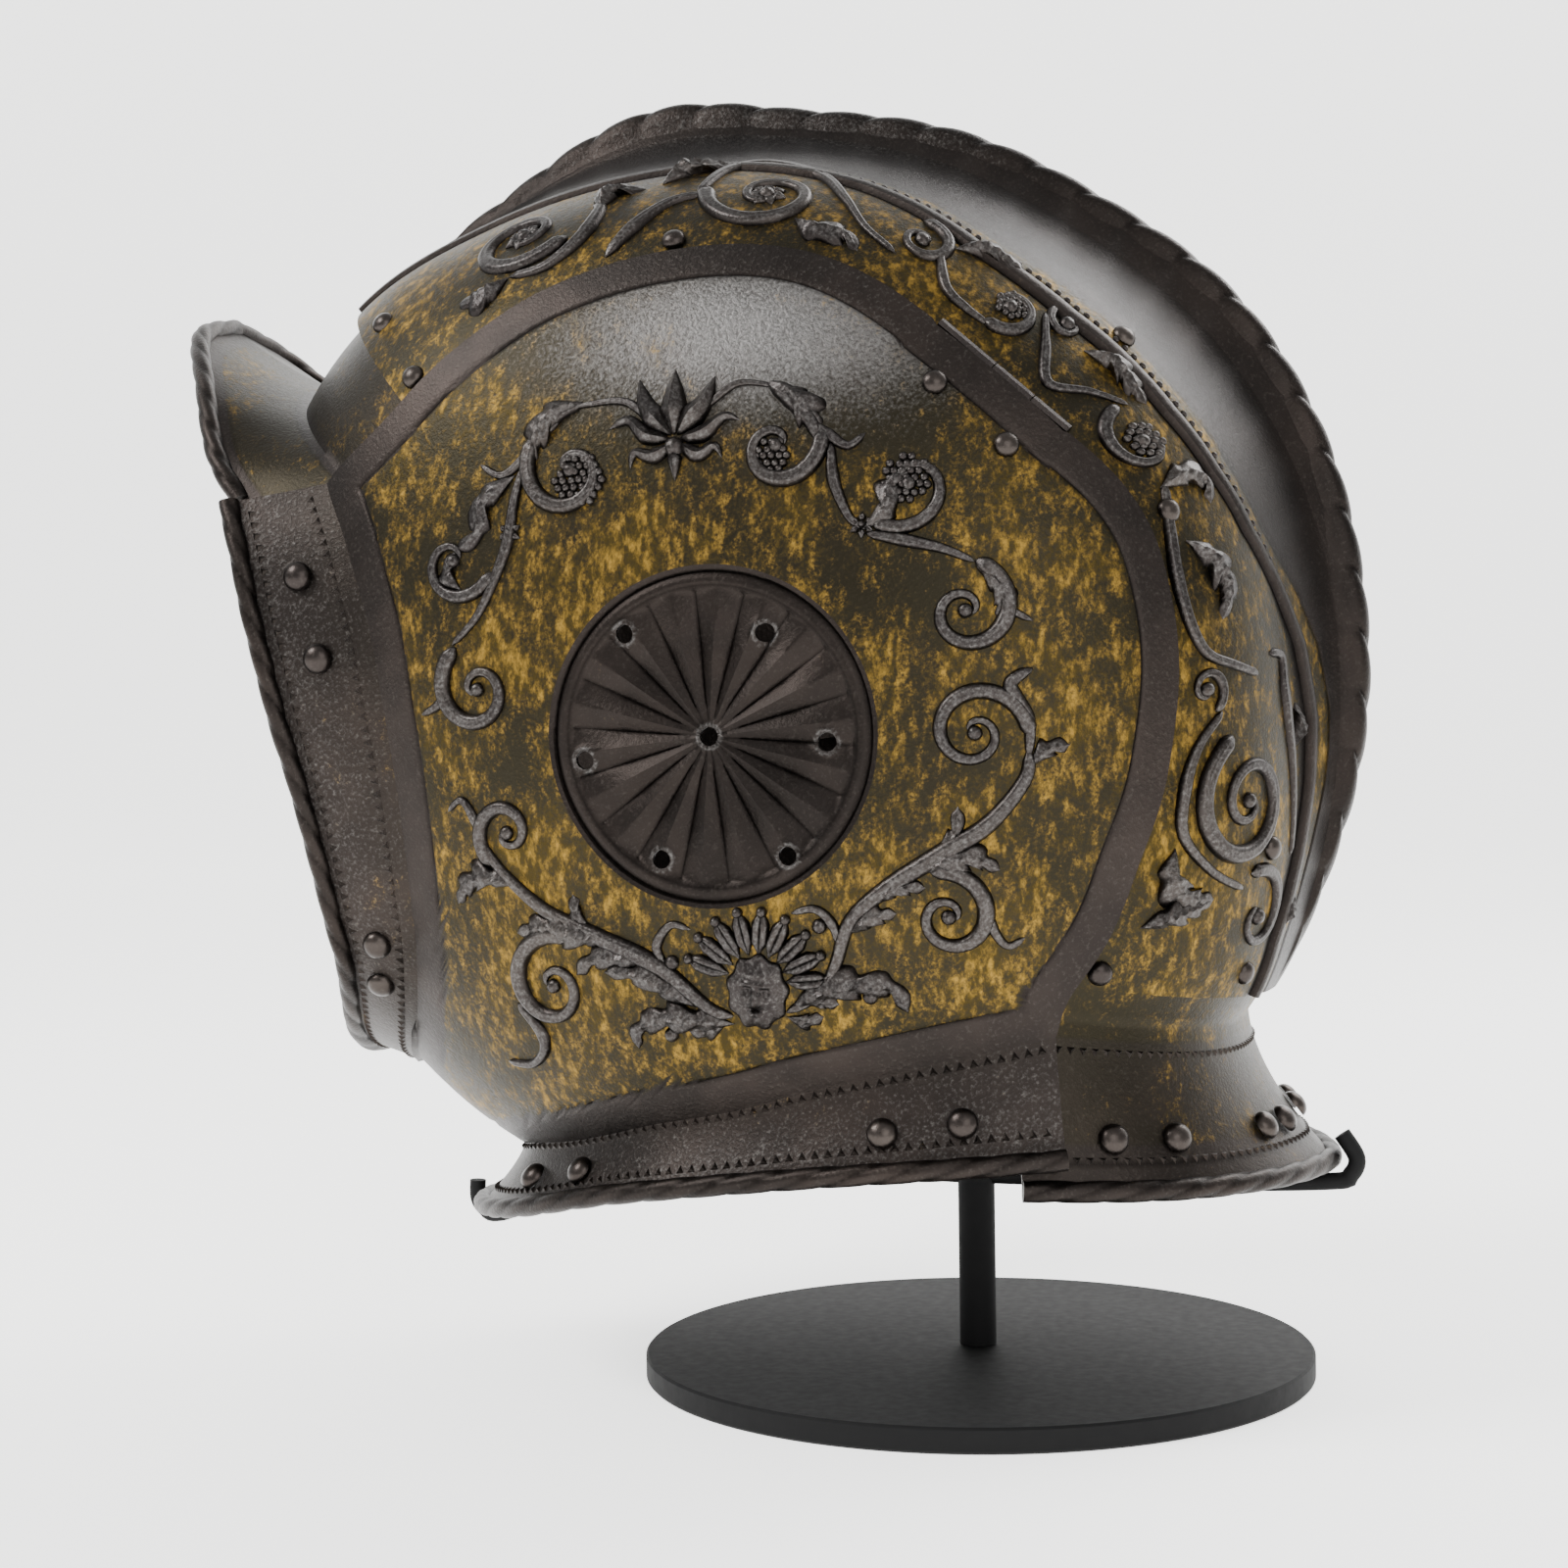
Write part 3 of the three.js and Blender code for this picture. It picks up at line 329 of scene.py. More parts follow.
def plate(points, wall=WALL, wrap=False, base=None, step=4, **marks):
    """Closed body from the grid of its outer face: the inner face lies a wall's thickness in from
    the smooth base at every fourth point. Marks are values of the outer face, one a point."""
    rows, columns = points.shape[:2]
    base = points if base is None else base
    normals = grid_normals(base, wrap)
    inner = (base - wall * normals)[::step, ::step]
    count = rows * columns
    near = np.arange(count).reshape(rows, columns)
    under = count + np.arange(inner.shape[0] * inner.shape[1]).reshape(inner.shape[:2])
    faces = [grid(rows, columns, wrap), grid(*inner.shape[:2], wrap)[:, ::-1] + count]
    if wrap:
        near, under = (np.hstack([ids, ids[:, :1]]) for ids in (near, under))
        edges = [(near[0], under[0], False), (near[-1], under[-1], True)]
    else:
        edges = [(near[0], under[0], False), (near[-1], under[-1], True),
                 (near[:, 0], under[:, 0], True), (near[:, -1], under[:, -1], False)]
    for outer_edge, inner_edge, flip in edges:
        strip = hem(outer_edge, inner_edge)
        faces.append(strip[:, ::-1] if flip else strip)
    hidden = np.zeros(inner.shape[0] * inner.shape[1])
    values = {name: np.append(np.broadcast_to(value, (rows, columns)), hidden)
              for name, value in marks.items()}
    both = np.concatenate([points.reshape(-1, 3), inner.reshape(-1, 3)])
    return {"points": both, "faces": faces, "marks": values}


def flipped(body):
    """The same body on the wearer's right: x changes sign and each face is turned round."""
    return {"points": body["points"] * [-1, 1, 1], "faces": [f[:, ::-1] for f in body["faces"]],
            "marks": body["marks"]}


def volume(body):
    """Signed volume: the sum of the tetrahedra between the origin and each triangle."""
    total = 0.0
    for faces in body["faces"]:
        corners = body["points"][faces]
        for k in range(1, faces.shape[1] - 1):
            total += np.einsum("ij,ij->", corners[:, 0], np.cross(corners[:, k], corners[:, k + 1])) / 6
    return total


def outward(body):
    """Turns a closed body's faces round if its signed volume is negative."""
    if volume(body) < 0:
        body["faces"] = [f[:, ::-1] for f in body["faces"]]
    return body


def tube(rings, ends=None, **marks):
    """Closed body of rings in a row, with a fan over each end, round the given end points or round
    the end rings' own middles. Marks have one value a point, the two end points last."""
    rows, count = rings.shape[:2]
    wheel = np.arange(count)
    faces = [grid(rows, count, wrap=True)]
    for middle, first, flip in ((rows * count, 0, False), (rows * count + 1, (rows - 1) * count, True)):
        fan = np.stack([np.full(count, middle), first + wheel, first + (wheel + 1) % count], -1)
        faces.append(fan[:, ::-1] if flip else fan)
    ends = rings[[0, -1]].mean(1) if ends is None else ends
    return outward({"points": np.concatenate([rings.reshape(-1, 3), ends]), "faces": faces, "marks": marks})


def build(name, bodies, material, rides, stands_for=(), crease=40):
    """Joins bodies into one mesh object in metres, smooth shaded except for edges sharper than the crease.
    It parents the object to the empty of the body that it rides on and hides the CAD pieces that it stands
    for."""
    starts = np.cumsum([0] + [len(body["points"]) for body in bodies])
    faces = [f + start for body, start in zip(bodies, starts) for f in body["faces"]]
    mesh = bpy.data.meshes.new(name)
    mesh.vertices.add(starts[-1])
    mesh.vertices.foreach_set("co", (np.concatenate([b["points"] for b in bodies]) * MM).ravel())
    sizes = np.concatenate([np.full(len(f), f.shape[1]) for f in faces])
    mesh.loops.add(int(sizes.sum()))
    mesh.loops.foreach_set("vertex_index", np.concatenate([f.ravel() for f in faces]))
    mesh.polygons.add(len(sizes))
    mesh.polygons.foreach_set("loop_start", np.concatenate([[0], np.cumsum(sizes)[:-1]]))
    mesh.update(calc_edges=True)
    mesh.polygons.foreach_set("use_smooth", np.ones(len(sizes), bool))
    mesh.set_sharp_from_angle(angle=np.radians(crease))
    for mark in sorted({mark for body in bodies for mark in body["marks"]}):
        values = [body["marks"].get(mark, np.zeros(len(body["points"]))) for body in bodies]
        mesh.attributes.new(mark, "FLOAT", "POINT").data.foreach_set("value", np.concatenate(values))
    mesh.materials.append(material)
    made = bpy.data.objects.new(name, mesh)
    bpy.context.scene.collection.objects.link(made)
    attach(made, rides)
    if stands_for:
        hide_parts(*stands_for)
    print(name, "triangles:", int((sizes - 2).sum()))
    return made


# %% [markdown]
# Every rim of the helmet is turned over a wire and filed as a rope. The profile is a circle that is
# carried along the edge, and its radius dips where a groove winds round it. The path's own tangent
# and a reference direction give the frame at each step.

# %% Roped rims
STRANDS = 3
ROPE_PITCH = 12.0
GROOVE_POWER = 0.45  # a small power makes the strands full and the grooves narrow


def lengths(points):
    """Distance along a line of points, from its start."""
    steps = np.linalg.norm(np.diff(points, axis=0), axis=1)
    return np.concatenate([[0], np.cumsum(steps)])


def evenly(line, spacing):
    """The same line with points at even spacing along it, by linear steps between close points."""
    along = lengths(line)
    count = max(4, int(round(along[-1] / spacing)))
    wanted = np.linspace(0, along[-1], count + 1)
    return np.stack([np.interp(wanted, along, line[:, k]) for k in range(line.shape[1])], -1)


def rope(line, radius=ROPE, pitch=ROPE_PITCH, depth=0.2, sides=20, spacing=0.9, up=(0, 0, 1)):
    """Profile carried along a line: radius (1 - depth (1 - |cos|^0.45)) with the cosine of half of
    strands times angle minus a full turn every pitch, so that narrow grooves wind round it."""
    path = evenly(line, spacing)
    tangent = unit(np.gradient(path, axis=0))
    side = unit(np.cross(tangent, np.asarray(up, float)))
    rise = np.cross(side, tangent)
    angle = np.linspace(0, 2 * np.pi, sides, endpoint=False)
    along = lengths(path)[:, None]
    wave = np.cos(0.5 * (STRANDS * angle[None] - 2 * np.pi * along / pitch))
    cut = 1 - np.abs(wave) ** GROOVE_POWER
    ring = side[:, None] * np.cos(angle)[None, :, None] + rise[:, None] * np.sin(angle)[None, :, None]
    points = path[:, None] + (radius * (1 - depth * cut))[..., None] * ring
    return tube(points, path[[0, -1]], groove=np.append(cut, [0, 0]))


# %% [markdown]
# The plates are steel that was heated until it turned a dark red-brown, called russet. The ground between
# the raised scrolls was then gilt with gold and mercury over a fire, and four centuries of polishing have
# left that gold in blotches and brush streaks. One material does all three states: attributes of each plate
# say where gold was laid and where the steel was rubbed bare. The same silver tone is also a painted
# highlight over the ear and about the crown of the comb. A further attribute says where the steel is
# darkened: along incised lines, in the grooves of the ropes and over the rosette and the comb, and as
# painted shade at the foot of the raised work. Noise in real millimetres breaks them up.

# %% Steel, gilt and paint


def per_mm(size):
    """Scale of a noise in metres of Object coordinates for features of a size in millimetres."""
    return 1000.0 / size


def helmet_steel(name, dark, warm, rough, relief=0.35, laid=1.0):
    """Russet steel with worn fire gilding. Metallic is 1 and the IOR stays at its default. The colour is
    laid on in layers: each mixes in one more tone where its value climbs from a low to a high number. The
    rubbed silver tone also serves as a painted highlight where the bare attribute marks one. Gold comes
    last, where the gilt attribute plus weighted noises climb. Then the groove attribute darkens it all:
    incised lines, rope grooves, the rosette and the comb, and as painted shade the foot of the raised work.
    Pits and hammer marks go into a bump of a fraction of a millimetre."""
    material = bpy.data.materials.new(name)
    material.use_nodes = True
    tree = material.node_tree
    shader = tree.nodes["Principled BSDF"]
    place = add(tree, "ShaderNodeTexCoord").outputs["Object"]
    noise = {}
    for key, size, detail, stretch in NOISES:
        turned = add(tree, "ShaderNodeMapping", {"Vector": place, "Rotation": BRUSHED, "Scale": stretch})
        made = add(tree, "ShaderNodeTexNoise", {"Vector": turned.outputs["Vector"], "Detail": detail,
                                                "Scale": per_mm(size), "Roughness": NOISE_ROUGHNESS})
        noise[key] = made.outputs["Fac"]
    marks = {key: add(tree, "ShaderNodeAttribute", attribute_name=key).outputs["Fac"]
             for key in ("gilt", "bare", "groove")}

    worn = marks["gilt"]
    for key, weight in WEAR.items():
        worn = add(tree, MATHS, {0: noise[key], 1: weight, 2: worn}, operation="MULTIPLY_ADD").outputs[0]
    # The rubbed bare-steel tone is also a painted highlight where the bare attribute marks one: over the
    # ear and about the comb's crown.
    rubbed_and_sheen = add(tree, MATHS, {0: noise["fine"], 1: 0.9, 2: marks["bare"]}, operation="MULTIPLY_ADD")
    streaked = add(tree, RAMP, {"Value": noise["streak"], "From Min": 0.42, "From Max": 0.72},
                   interpolation_type="SMOOTHSTEP").outputs["Result"]
    gold = add(tree, MIX, {"Factor": streaked, 6: colour(GOLD_DARK), 7: colour(GOLD)}, data_type="RGBA")
    layers = [
        # value, low, high, most, tone
        (noise["broad"], 0.35, 0.7, 1.0, colour(warm)),
        (noise["pits"], 0.5, 0.8, 0.35, colour("#57524d")),
        (marks["gilt"], 0.2, 0.8, 0.7, colour("#2a271b")),
        (rubbed_and_sheen.outputs[0], 0.6, 1.35, 0.8, colour("#8f8d8b")),
        (worn, *GILT_RAMP, laid, gold.outputs[2]),
    ]
    tone = colour(dark)
    for value, low, high, most, laid_on in layers:
        share = add(tree, RAMP, {"Value": value, "From Min": low, "From Max": high, "To Max": most},
                    interpolation_type="SMOOTHSTEP").outputs["Result"]
        tone = add(tree, MIX, {"Factor": share, 6: tone, 7: laid_on}, data_type="RGBA").outputs[2]
    # The groove attribute darkens towards near black: along incised lines, in rope grooves, over the
    # rosette and the comb, and as painted shade at the foot of the raised work.
    dark_and_shade = add(tree, MATHS, {0: marks["groove"], 1: 0.8}, operation="MULTIPLY", use_clamp=True).outputs[0]
    tone = add(tree, MIX, {"Factor": dark_and_shade, 6: tone, 7: colour("#0c0a09")}, data_type="RGBA").outputs[2]
    tree.links.new(tone, shader.inputs["Base Color"])
    shader.inputs["Metallic"].default_value = 1.0

    blur = rough - 0.15
    for value, weight in ((noise["fine"], 0.3), (share, 0.1)):
        blur = add(tree, MATHS, {0: value, 1: weight, 2: blur}, operation="MULTIPLY_ADD").outputs[0]
    deep = add(tree, MATHS, {0: marks["bare"], 1: 2.0, 2: 0.7}, operation="MULTIPLY_ADD").outputs[0]
    height = add(tree, MATHS, {0: noise["pits"], 1: deep, 2: noise["blotch"]}, operation="MULTIPLY_ADD")
    tree.links.new(blur, shader.inputs["Roughness"])
    bump = add(tree, "ShaderNodeBump", {"Height": height.outputs[0], "Strength": relief, "Distance": BUMP})
    tree.links.new(bump.outputs["Normal"], shader.inputs["Normal"])
    return material


GOLD_DARK, GOLD = "#3f351b", "#957635"
MATHS, RAMP, MIX = "ShaderNodeMath", "ShaderNodeMapRange", "ShaderNodeMix"
BRUSHED = (0.9, 0.2, 0.3)  # turn of the noises, so that streaks don't run with the axes
NOISE_ROUGHNESS = 0.65
BUMP = 0.0006  # metres
WEAR = {"blotch": 1.3, "streak": 0.7, "fine": 1.6, "broad": 1.5}  # weight of each noise
GILT_RAMP = (3.1, 3.85)  # the sums at which gold starts and at which it's whole
NOISES = [
    # what it draws, mm between features, detail, stretch of its axes
    ("pits", 0.9, 3.0, (1, 1, 1)),
    ("fine", 0.9, 6.0, (1, 1, 1)),
    ("streak", 2.6, 6.0, (1, 1, 0.5)),
    ("blotch", 12.0, 6.0, (1, 1, 0.8)),
    ("broad", 36.0, 3.0, (1, 1, 1)),
]
plate_steel = helmet_steel("russet_and_gilt_steel", "#2a2624", "#352f2c", 0.42)
relief_steel = helmet_steel("russet_relief_steel", "#2f2b2a", "#3d3835", 0.36, relief=0.2, laid=0.35)
rivet_metal = helmet_steel("russet_rivet_steel", "#35302e", "#47413d", 0.32, relief=0.15, laid=0.3)

# %% [markdown]
# The skull is one plate from the brow over the crown to the nape, with the comb drawn up along its
# middle. Its grid runs in lines of latitude: some follow the comb's ridge, flank and foot, some the
# bead band and the rounded fillet that frame the comb, and the rest go out to the edge that lies
# under the cheekpiece. Lines that follow the ornament keep its edges crisp with few points.

# %% The skull's lines
FRONT = -45.6
NAPE_Y, NAPE_Z, NAPE_SLOPE = 77.0, 104.0, -1 / 6
OVERLAP = 13.0
BACK_EDGE = np.array([
    # turn, reach
    (-227, 106.5), (-234, 103.2), (-250, 103.3), (-265, 105.5), (-279, 108.7), (-292, 111.5),
    (-301, 111.5), (-311, 108.6), (-321.5, 107.9), (-332.3, 110.8), (-350, 118.5), (-367, 120.5),
    (-384, 121.2), (-406, 120.3), (-418.8, 126),
])
COMB_SECTION = np.array([
    # distance from the mid-plane, share of the comb's height
    (0, 1), (1.2, 0.995), (2.4, 0.975), (3.6, 0.93), (4.4, 0.86), (4.9, 0.7), (5.2, 0.56), (7, 0.45),
    (9, 0.37), (11.5, 0.29), (14, 0.22), (18, 0.14), (22, 0.08), (26.5, 0.03), (31, 0),
])
FILLET = np.array([
    # turn, distance of the fillet from the mid-plane
    (-60, 30), (-30, 32), (-10, 34), (0, 37), (10, 41), (25, 50), (38, 52), (53, 49), (61, 45),
    (68, 38), (74, 28), (81, 20), (89, 16), (96, 17), (102, 20), (108, 23), (113, 27), (150, 27),
])
BAND = 8.5
FILLET_HALF = 2.4
RIDGE_PITCH, RIDGE_DEPTH = 16.0, 1.5
COMB_DARK = 0.4  # how far the comb is darkened towards the colour of the grooves
SKULL_LINES = np.array([0, 4, 8, 10, 22, 28, 34, 52, 56])  # columns at which each strip starts
SKULL_ROWS = 400


def cheek_reach(turn):
    """Reach of the cheekpiece's rear edge at a turn over the crown, straight between its rows."""
    far = np.asarray(turn, float) - 360
    return np.interp(-far, -BACK_EDGE[:, 0], BACK_EDGE[:, 1])


def strips(q, starts, knots):
    """Value that goes straight from knot to knot as q passes the start of each strip."""
    value = knots[0]
    for k in range(len(starts) - 1):
        step = ((q - starts[k]) / (starts[k + 1] - starts[k])).clip(0, 1)
        value = value + (knots[k + 1] - knots[k]) * step
    return value


def skull_base(turn, q):
    """Point of the plain skull: q counts lines from the ridge to the hidden edge. Up to the fillet
    the lines keep a distance from the mid-plane, and beyond it they share out the swing."""
    turn, q = np.broadcast_arrays(np.asarray(turn, float), np.asarray(q, float))
    fillet = np.interp(turn, FILLET[:, 0], FILLET[:, 1])
    band = np.maximum(fillet - BAND, 8.0)
    knots = [0 * turn, 2.4 + 0 * turn, 4.4 + 0 * turn, 5.2 + 0 * turn, band, fillet - FILLET_HALF,
             fillet + FILLET_HALF]
    x = strips(q, SKULL_LINES[:7], knots)
    edge = swing_at(turn, cheek_reach(turn))
    hidden = swing_at(turn, cheek_reach(turn) - OVERLAP)
    start = swing_beside(turn, x)
    swing = strips(q, SKULL_LINES[6:], [start, edge, hidden])
    point = shell(turn, swing)
    raised = outline(turn)[1].clip(0) * np.interp(x, COMB_SECTION[:, 0], COMB_SECTION[:, 1])
    raised = np.where(q <= SKULL_LINES[6], raised, 0)
    angle = np.radians(turn)
    point[..., 1] += raised * np.sin(angle)
    point[..., 2] += raised * np.cos(angle)
    return point


def nape_turn(q):
    """Turn at which each line comes down to the skull's lower edge, by halving the interval."""
    high, low = np.full(q.shape, 90.0), np.full(q.shape, 150.0)
    for _ in range(30):
        middle = (high + low) / 2
        point = skull_base(middle, q)
        above = point[..., 2] > NAPE_Z + NAPE_SLOPE * (point[..., 1] - NAPE_Y)
        high, low = np.where(above, middle, high), np.where(above, low, middle)
    return high


half = np.arange(SKULL_LINES[-1] + 1.0)
lines = np.concatenate([half[::-1], half[1:]])
side = np.concatenate([np.ones(len(half)), -np.ones(len(half) - 1)])
ends = nape_turn(lines)
skull_turns = lerp(FRONT, ends[None], np.linspace(0, 1, SKULL_ROWS + 1)[:, None])
skull_q = np.broadcast_to(lines, skull_turns.shape)
skull_plain = skull_base(skull_turns, skull_q)
skull_plain[..., 0] *= side
print("skull grid:", skull_plain.shape[:2])

# %% [markdown]
# Relief on the skull is a height along the normal: the ridge is filed into slanted strands like a rope, and
# the fillet is a half-round moulding. The gilt attribute covers the bead band and the frieze below the
# fillet. The comb's flanks stay dark, except for a painted highlight in the rubbed-steel tone about the
# crown.

# %% The skull's plate


def skull_relief(turns, q, plain):
    """Height in mm: strands |sin|^0.5 along the ridge with a slant across it, plus the half round
    sqrt(1 - t^2) of the fillet, plus a thin groove at each side of the bead band."""
    ridge = plain[:, plain.shape[1] // 2]
    along = lengths(ridge)[:, None]
    x = plain[..., 0]
    strand = np.abs(np.sin(np.pi * (along / RIDGE_PITCH + x / 14.0))) ** 0.5
    weight = 1 - ((np.abs(x) - 4.2) / 1.0).clip(0, 1)
    tall = (outline(turns)[1] / 8).clip(0, 1)
    height = RIDGE_DEPTH * (strand - 1) * weight * tall
    t = (q - (SKULL_LINES[5] + SKULL_LINES[6]) / 2) / ((SKULL_LINES[6] - SKULL_LINES[5]) / 2)
    height = height + 1.5 * np.sqrt((1 - t**2).clip(0))
    groove = 0.9 * (1 - strand) * weight * tall
    for line in (SKULL_LINES[4], SKULL_LINES[5], SKULL_LINES[6]):
        cut = (1 - np.abs(q - line)).clip(0)
        height = height - 0.35 * cut
        groove = np.maximum(groove, 0.9 * cut)
    return height, groove


skull_normals = grid_normals(skull_plain)
if skull_normals[SKULL_ROWS // 3, len(half) - 1, 2] < 0:
    skull_normals = -skull_normals
skull_height, skull_groove = skull_relief(skull_turns, skull_q, skull_plain)
skull_zones = [skull_q < SKULL_LINES[4], skull_q < SKULL_LINES[5], skull_q < SKULL_LINES[6] + 0.5]
skull_gilt = np.select(skull_zones, [0.0, 0.85, 0.1], 0.85)
# The lighter rubbed-steel tone on the comb's flanks about the crown is a painted highlight.
comb_flank = (skull_q < SKULL_LINES[4] - 2) & (skull_turns > -45) & (skull_turns < 20)
skull_painted_sheen = np.where(comb_flank, 0.25 * np.cos(np.radians(skull_turns * 2.2)).clip(0), 0)
skull_groove = np.maximum(skull_groove, COMB_DARK * (skull_q < SKULL_LINES[4]))
skull_outer = skull_plain + skull_normals * skull_height[..., None]


def outward_plate(points, base, **marks):
    """The closed plate of a grid whose wall grows inward: the grid's rows are turned round if its
    normals look at the helmet's middle."""
    normals = grid_normals(base)
    away = base - np.array([0, EAR[0], EAR[1]])
    if np.einsum("ijk,ijk->", normals, away) < 0:
        points, base = points[::-1], base[::-1]
        marks = {name: np.broadcast_to(value, points.shape[:2])[::-1] for name, value in marks.items()}
    return outward(plate(points, base=base, **marks))


skull_plate = outward_plate(skull_outer, skull_plain, gilt=skull_gilt, bare=skull_painted_sheen, groove=skull_groove)
build("skull_plate", [skull_plate], plate_steel, "helmet", ["skull"])

# %% [markdown]
# A cheekpiece is grown from its ear rosette: rings run out from the middle to the edge, so the
# flutes, the bare border and its incised line all follow rings of the grid. Flanges for the face
# and the neck continue from two stretches of the edge.

# %% The cheekpiece's edges
FACE_EDGE = np.array([
    # turn, reach; a reach of 0 lies on the mid-plane
    (-58.8, 126), (-64.5, 110), (-75, 95), (-88.5, 88.5), (-101.5, 88.5), (-114, 95),
    (-122.5, 105), (-128, 121), (-129.5, 137.5), (-128.5, 0),
])
CHIN_SEAM = np.array([(-128.5, 0), (-143, 0)])
NECK_EDGE = np.array([
    (-143, 0), (-145.5, 132.5), (-149.5, 123), (-159.5, 107), (-170.5, 96), (-187, 89),
    (-203, 89.5), (-217, 96.5), (-227, 106.5),
])
CHEEK_EDGES = [(FACE_EDGE, 9), (CHIN_SEAM, 2), (NECK_EDGE, 8), (BACK_EDGE, 17)]
CAD_COLUMNS = sum(steps for _, steps in CHEEK_EDGES)
FIRST_SPOKE = -46.0
ROSETTE = 40.0
FACE_FLANGE = np.array([
    # forward, rise, flare
    (26.5, -4, 2), (30, -5, 0), (26.5, -5, -2), (22.5, -5, -4), (20, 4.5, -4), (14, 4, 0),
])
NECK_AXIS_Y = -27.0
FLARE = 1.35
NECK = np.array([
    # cheek, its height, guard, its height; every 30 degrees from the nape to the chin
    (121, 71, 121, 59.5), (113, 71, 111.2, 60.2), (98.5, 68.5, 93.5, 62), (90, 64.5, 88, 64),
    (93, 58, 88, 64), (103, 48, 88, 64), (110, 43, 88, 64),
])


def edge_place(rows, share):
    """Turn and swing on an edge: the table's rows are read as a smooth curve."""
    place = np.asarray(share, float) * (len(rows) - 1)
    swings = np.where(rows[:, 1] > 0, swing_at(rows[:, 0], np.maximum(rows[:, 1], 1), CHEEK_LIFT), 90)
    turn = curve(rows[:, :1], place)[..., 0]
    return turn, np.minimum(curve(swings[:, None], place)[..., 0], 90)


def face_flange(along, out):
    """Crease point plus the flange's forward, rise and flare, the last growing as out squared."""
    along, out = np.broadcast_arrays(np.asarray(along, float), np.asarray(out, float))
    crease = shell(*edge_place(FACE_EDGE, along), CHEEK_LIFT)
    forward, rise, flare = np.moveaxis(curve(FACE_FLANGE, along * (len(FACE_FLANGE) - 1)), -1, 0)
    return crease + np.stack([flare * out**2, -forward * out, rise * out], -1)


def neck_flange(along, out):
    """Crease point carried round the neck's upright axis: its reach goes to the rim's reach as
    out^1.35 and its height straight to the rim's height."""
    along, out = np.broadcast_arrays(np.asarray(along, float), np.asarray(out, float))
    crease = shell(*edge_place(NECK_EDGE, along), CHEEK_LIFT)
    away = crease[..., 1] - NECK_AXIS_Y
    angle = np.arctan2(crease[..., 0], away)
    rim = curve(NECK, np.degrees(angle) / 30)
    reach = lerp(np.hypot(crease[..., 0], away), rim[..., 0], out**FLARE)
    z = lerp(crease[..., 2], rim[..., 1], out)
    return np.stack([reach * np.sin(angle), NECK_AXIS_Y + reach * np.cos(angle), z], -1)


def cheek_columns(per_column):
    """Turn and swing of the edge and the rosette's spoke for each column of the grid."""
    turns, swings = [], []
    for rows, steps in CHEEK_EDGES:
        turn, swing = edge_place(rows, np.arange(steps * per_column) / (steps * per_column))
        turns.append(turn)
        swings.append(swing)
    count = CAD_COLUMNS * per_column
    return np.concatenate(turns), np.concatenate(swings), FIRST_SPOKE - 360 * np.arange(count) / count


# %% [markdown]
# The cheekpiece's upper edge gives way to the hinge, so the hinge's frame is needed first. Its pin
# lies a little over the plates between two places in side view, and three directions go across it
# to the ear, along it and out of it.

# %% The hinge's frame
HINGE_TOP, HINGE_END, PIN_LIFT = (51.5, 98.1), (82.2, 71.1), 1.6
HINGE_HALF, HINGE_ROOM = 20.45, 1.8
pin_top, pin_end = (on_shell(*map(np.float64, place), PIN_LIFT) for place in (HINGE_TOP, HINGE_END))
pin_along = unit(pin_end - pin_top)
_, pin_out = spot(on_shell, *np.mean([HINGE_TOP, HINGE_END], axis=0))
pin_out = unit(pin_out - pin_along * (pin_out @ pin_along))
pin_across = unit(np.cross(pin_along, pin_out))
pin_middle = (pin_top + pin_end) / 2
print("hinge pin at", pin_middle.round(2), "along", pin_along.round(3))


def hinge_place(points):
    """Coordinates in the hinge's frame: across to the ear, along the pin, and out."""
    return (points - pin_middle) @ np.stack([pin_across, pin_along, pin_out], -1)


# %% [markdown]
# The field between the rosette and the edge is a wheel of columns. Rings of its border keep fixed
# distances from the edge, and so do the incised line and the gilt ground. The distance is the
# shortest way to the edge's line and not the way along the column, because near the chin the
# columns run slantwise. By the hinge, halving finds where a column meets the hinge's notch.

# %% The cheekpiece's field
PER_COLUMN = 12
BORDER = np.array([16, 13, 11.2, 10.4, 10.0, 9.6, 8.8, 7.0, 5.0, 3.0, 1.4, 0.5, 0])  # mm from the edge
INNER_RINGS = 28
GILT_FROM = 10.0  # mm of plain border between the edge and the gilt field
LINE_HALF = 0.55  # half width of the line incised there, in mm
LINE_DEPTH = 0.45
# The patch over the ear is worn gilding, and its silver tone is also a painted highlight of the key light
# above.
RUBBED_SHEEN = (12, 98, 62, 26)  # place of the rubbed patch over the ear and its reach, y and z
HALVINGS = 24


def field_point(spoke, turn, swing, share):
    """Point of the field: from the rosette's rim at the spoke to the edge at its turn and swing."""
    start = swing_at(spoke, ROSETTE)
    return shell(lerp(spoke, turn, share), lerp(start, swing, share), CHEEK_LIFT)


edge_turn, edge_swing, spokes = cheek_columns(PER_COLUMN)
coarse = field_point(spokes, edge_turn, edge_swing, np.linspace(0, 1, 33)[:, None])
span = np.linalg.norm(np.diff(coarse, axis=0), axis=-1).sum(0)
across = hinge_place(coarse[-1])
by_hinge = (np.abs(across[:, 1]) < HINGE_HALF + 0.3) & (np.abs(across[:, 2]) < 12)
low, high = np.zeros(len(spokes)), np.ones(len(spokes))
for _ in range(HALVINGS):
    middle = (low + high) / 2
    inside = hinge_place(field_point(spokes, edge_turn, edge_swing, middle))[:, 0] > HINGE_ROOM
    low, high = np.where(inside, middle, low), np.where(inside, high, middle)
reach_share = np.where(by_hinge, np.minimum(low, 1), 1.0)
edge_line = field_point(spokes, edge_turn, edge_swing, reach_share)


def from_edge(shares):
    """Shortest distance in mm from the places at given shares to the cheekpiece's edge."""
    places = field_point(spokes, edge_turn, edge_swing, shares)
    return np.stack([np.linalg.norm(row[:, None] - edge_line, axis=-1).min(1) for row in places])


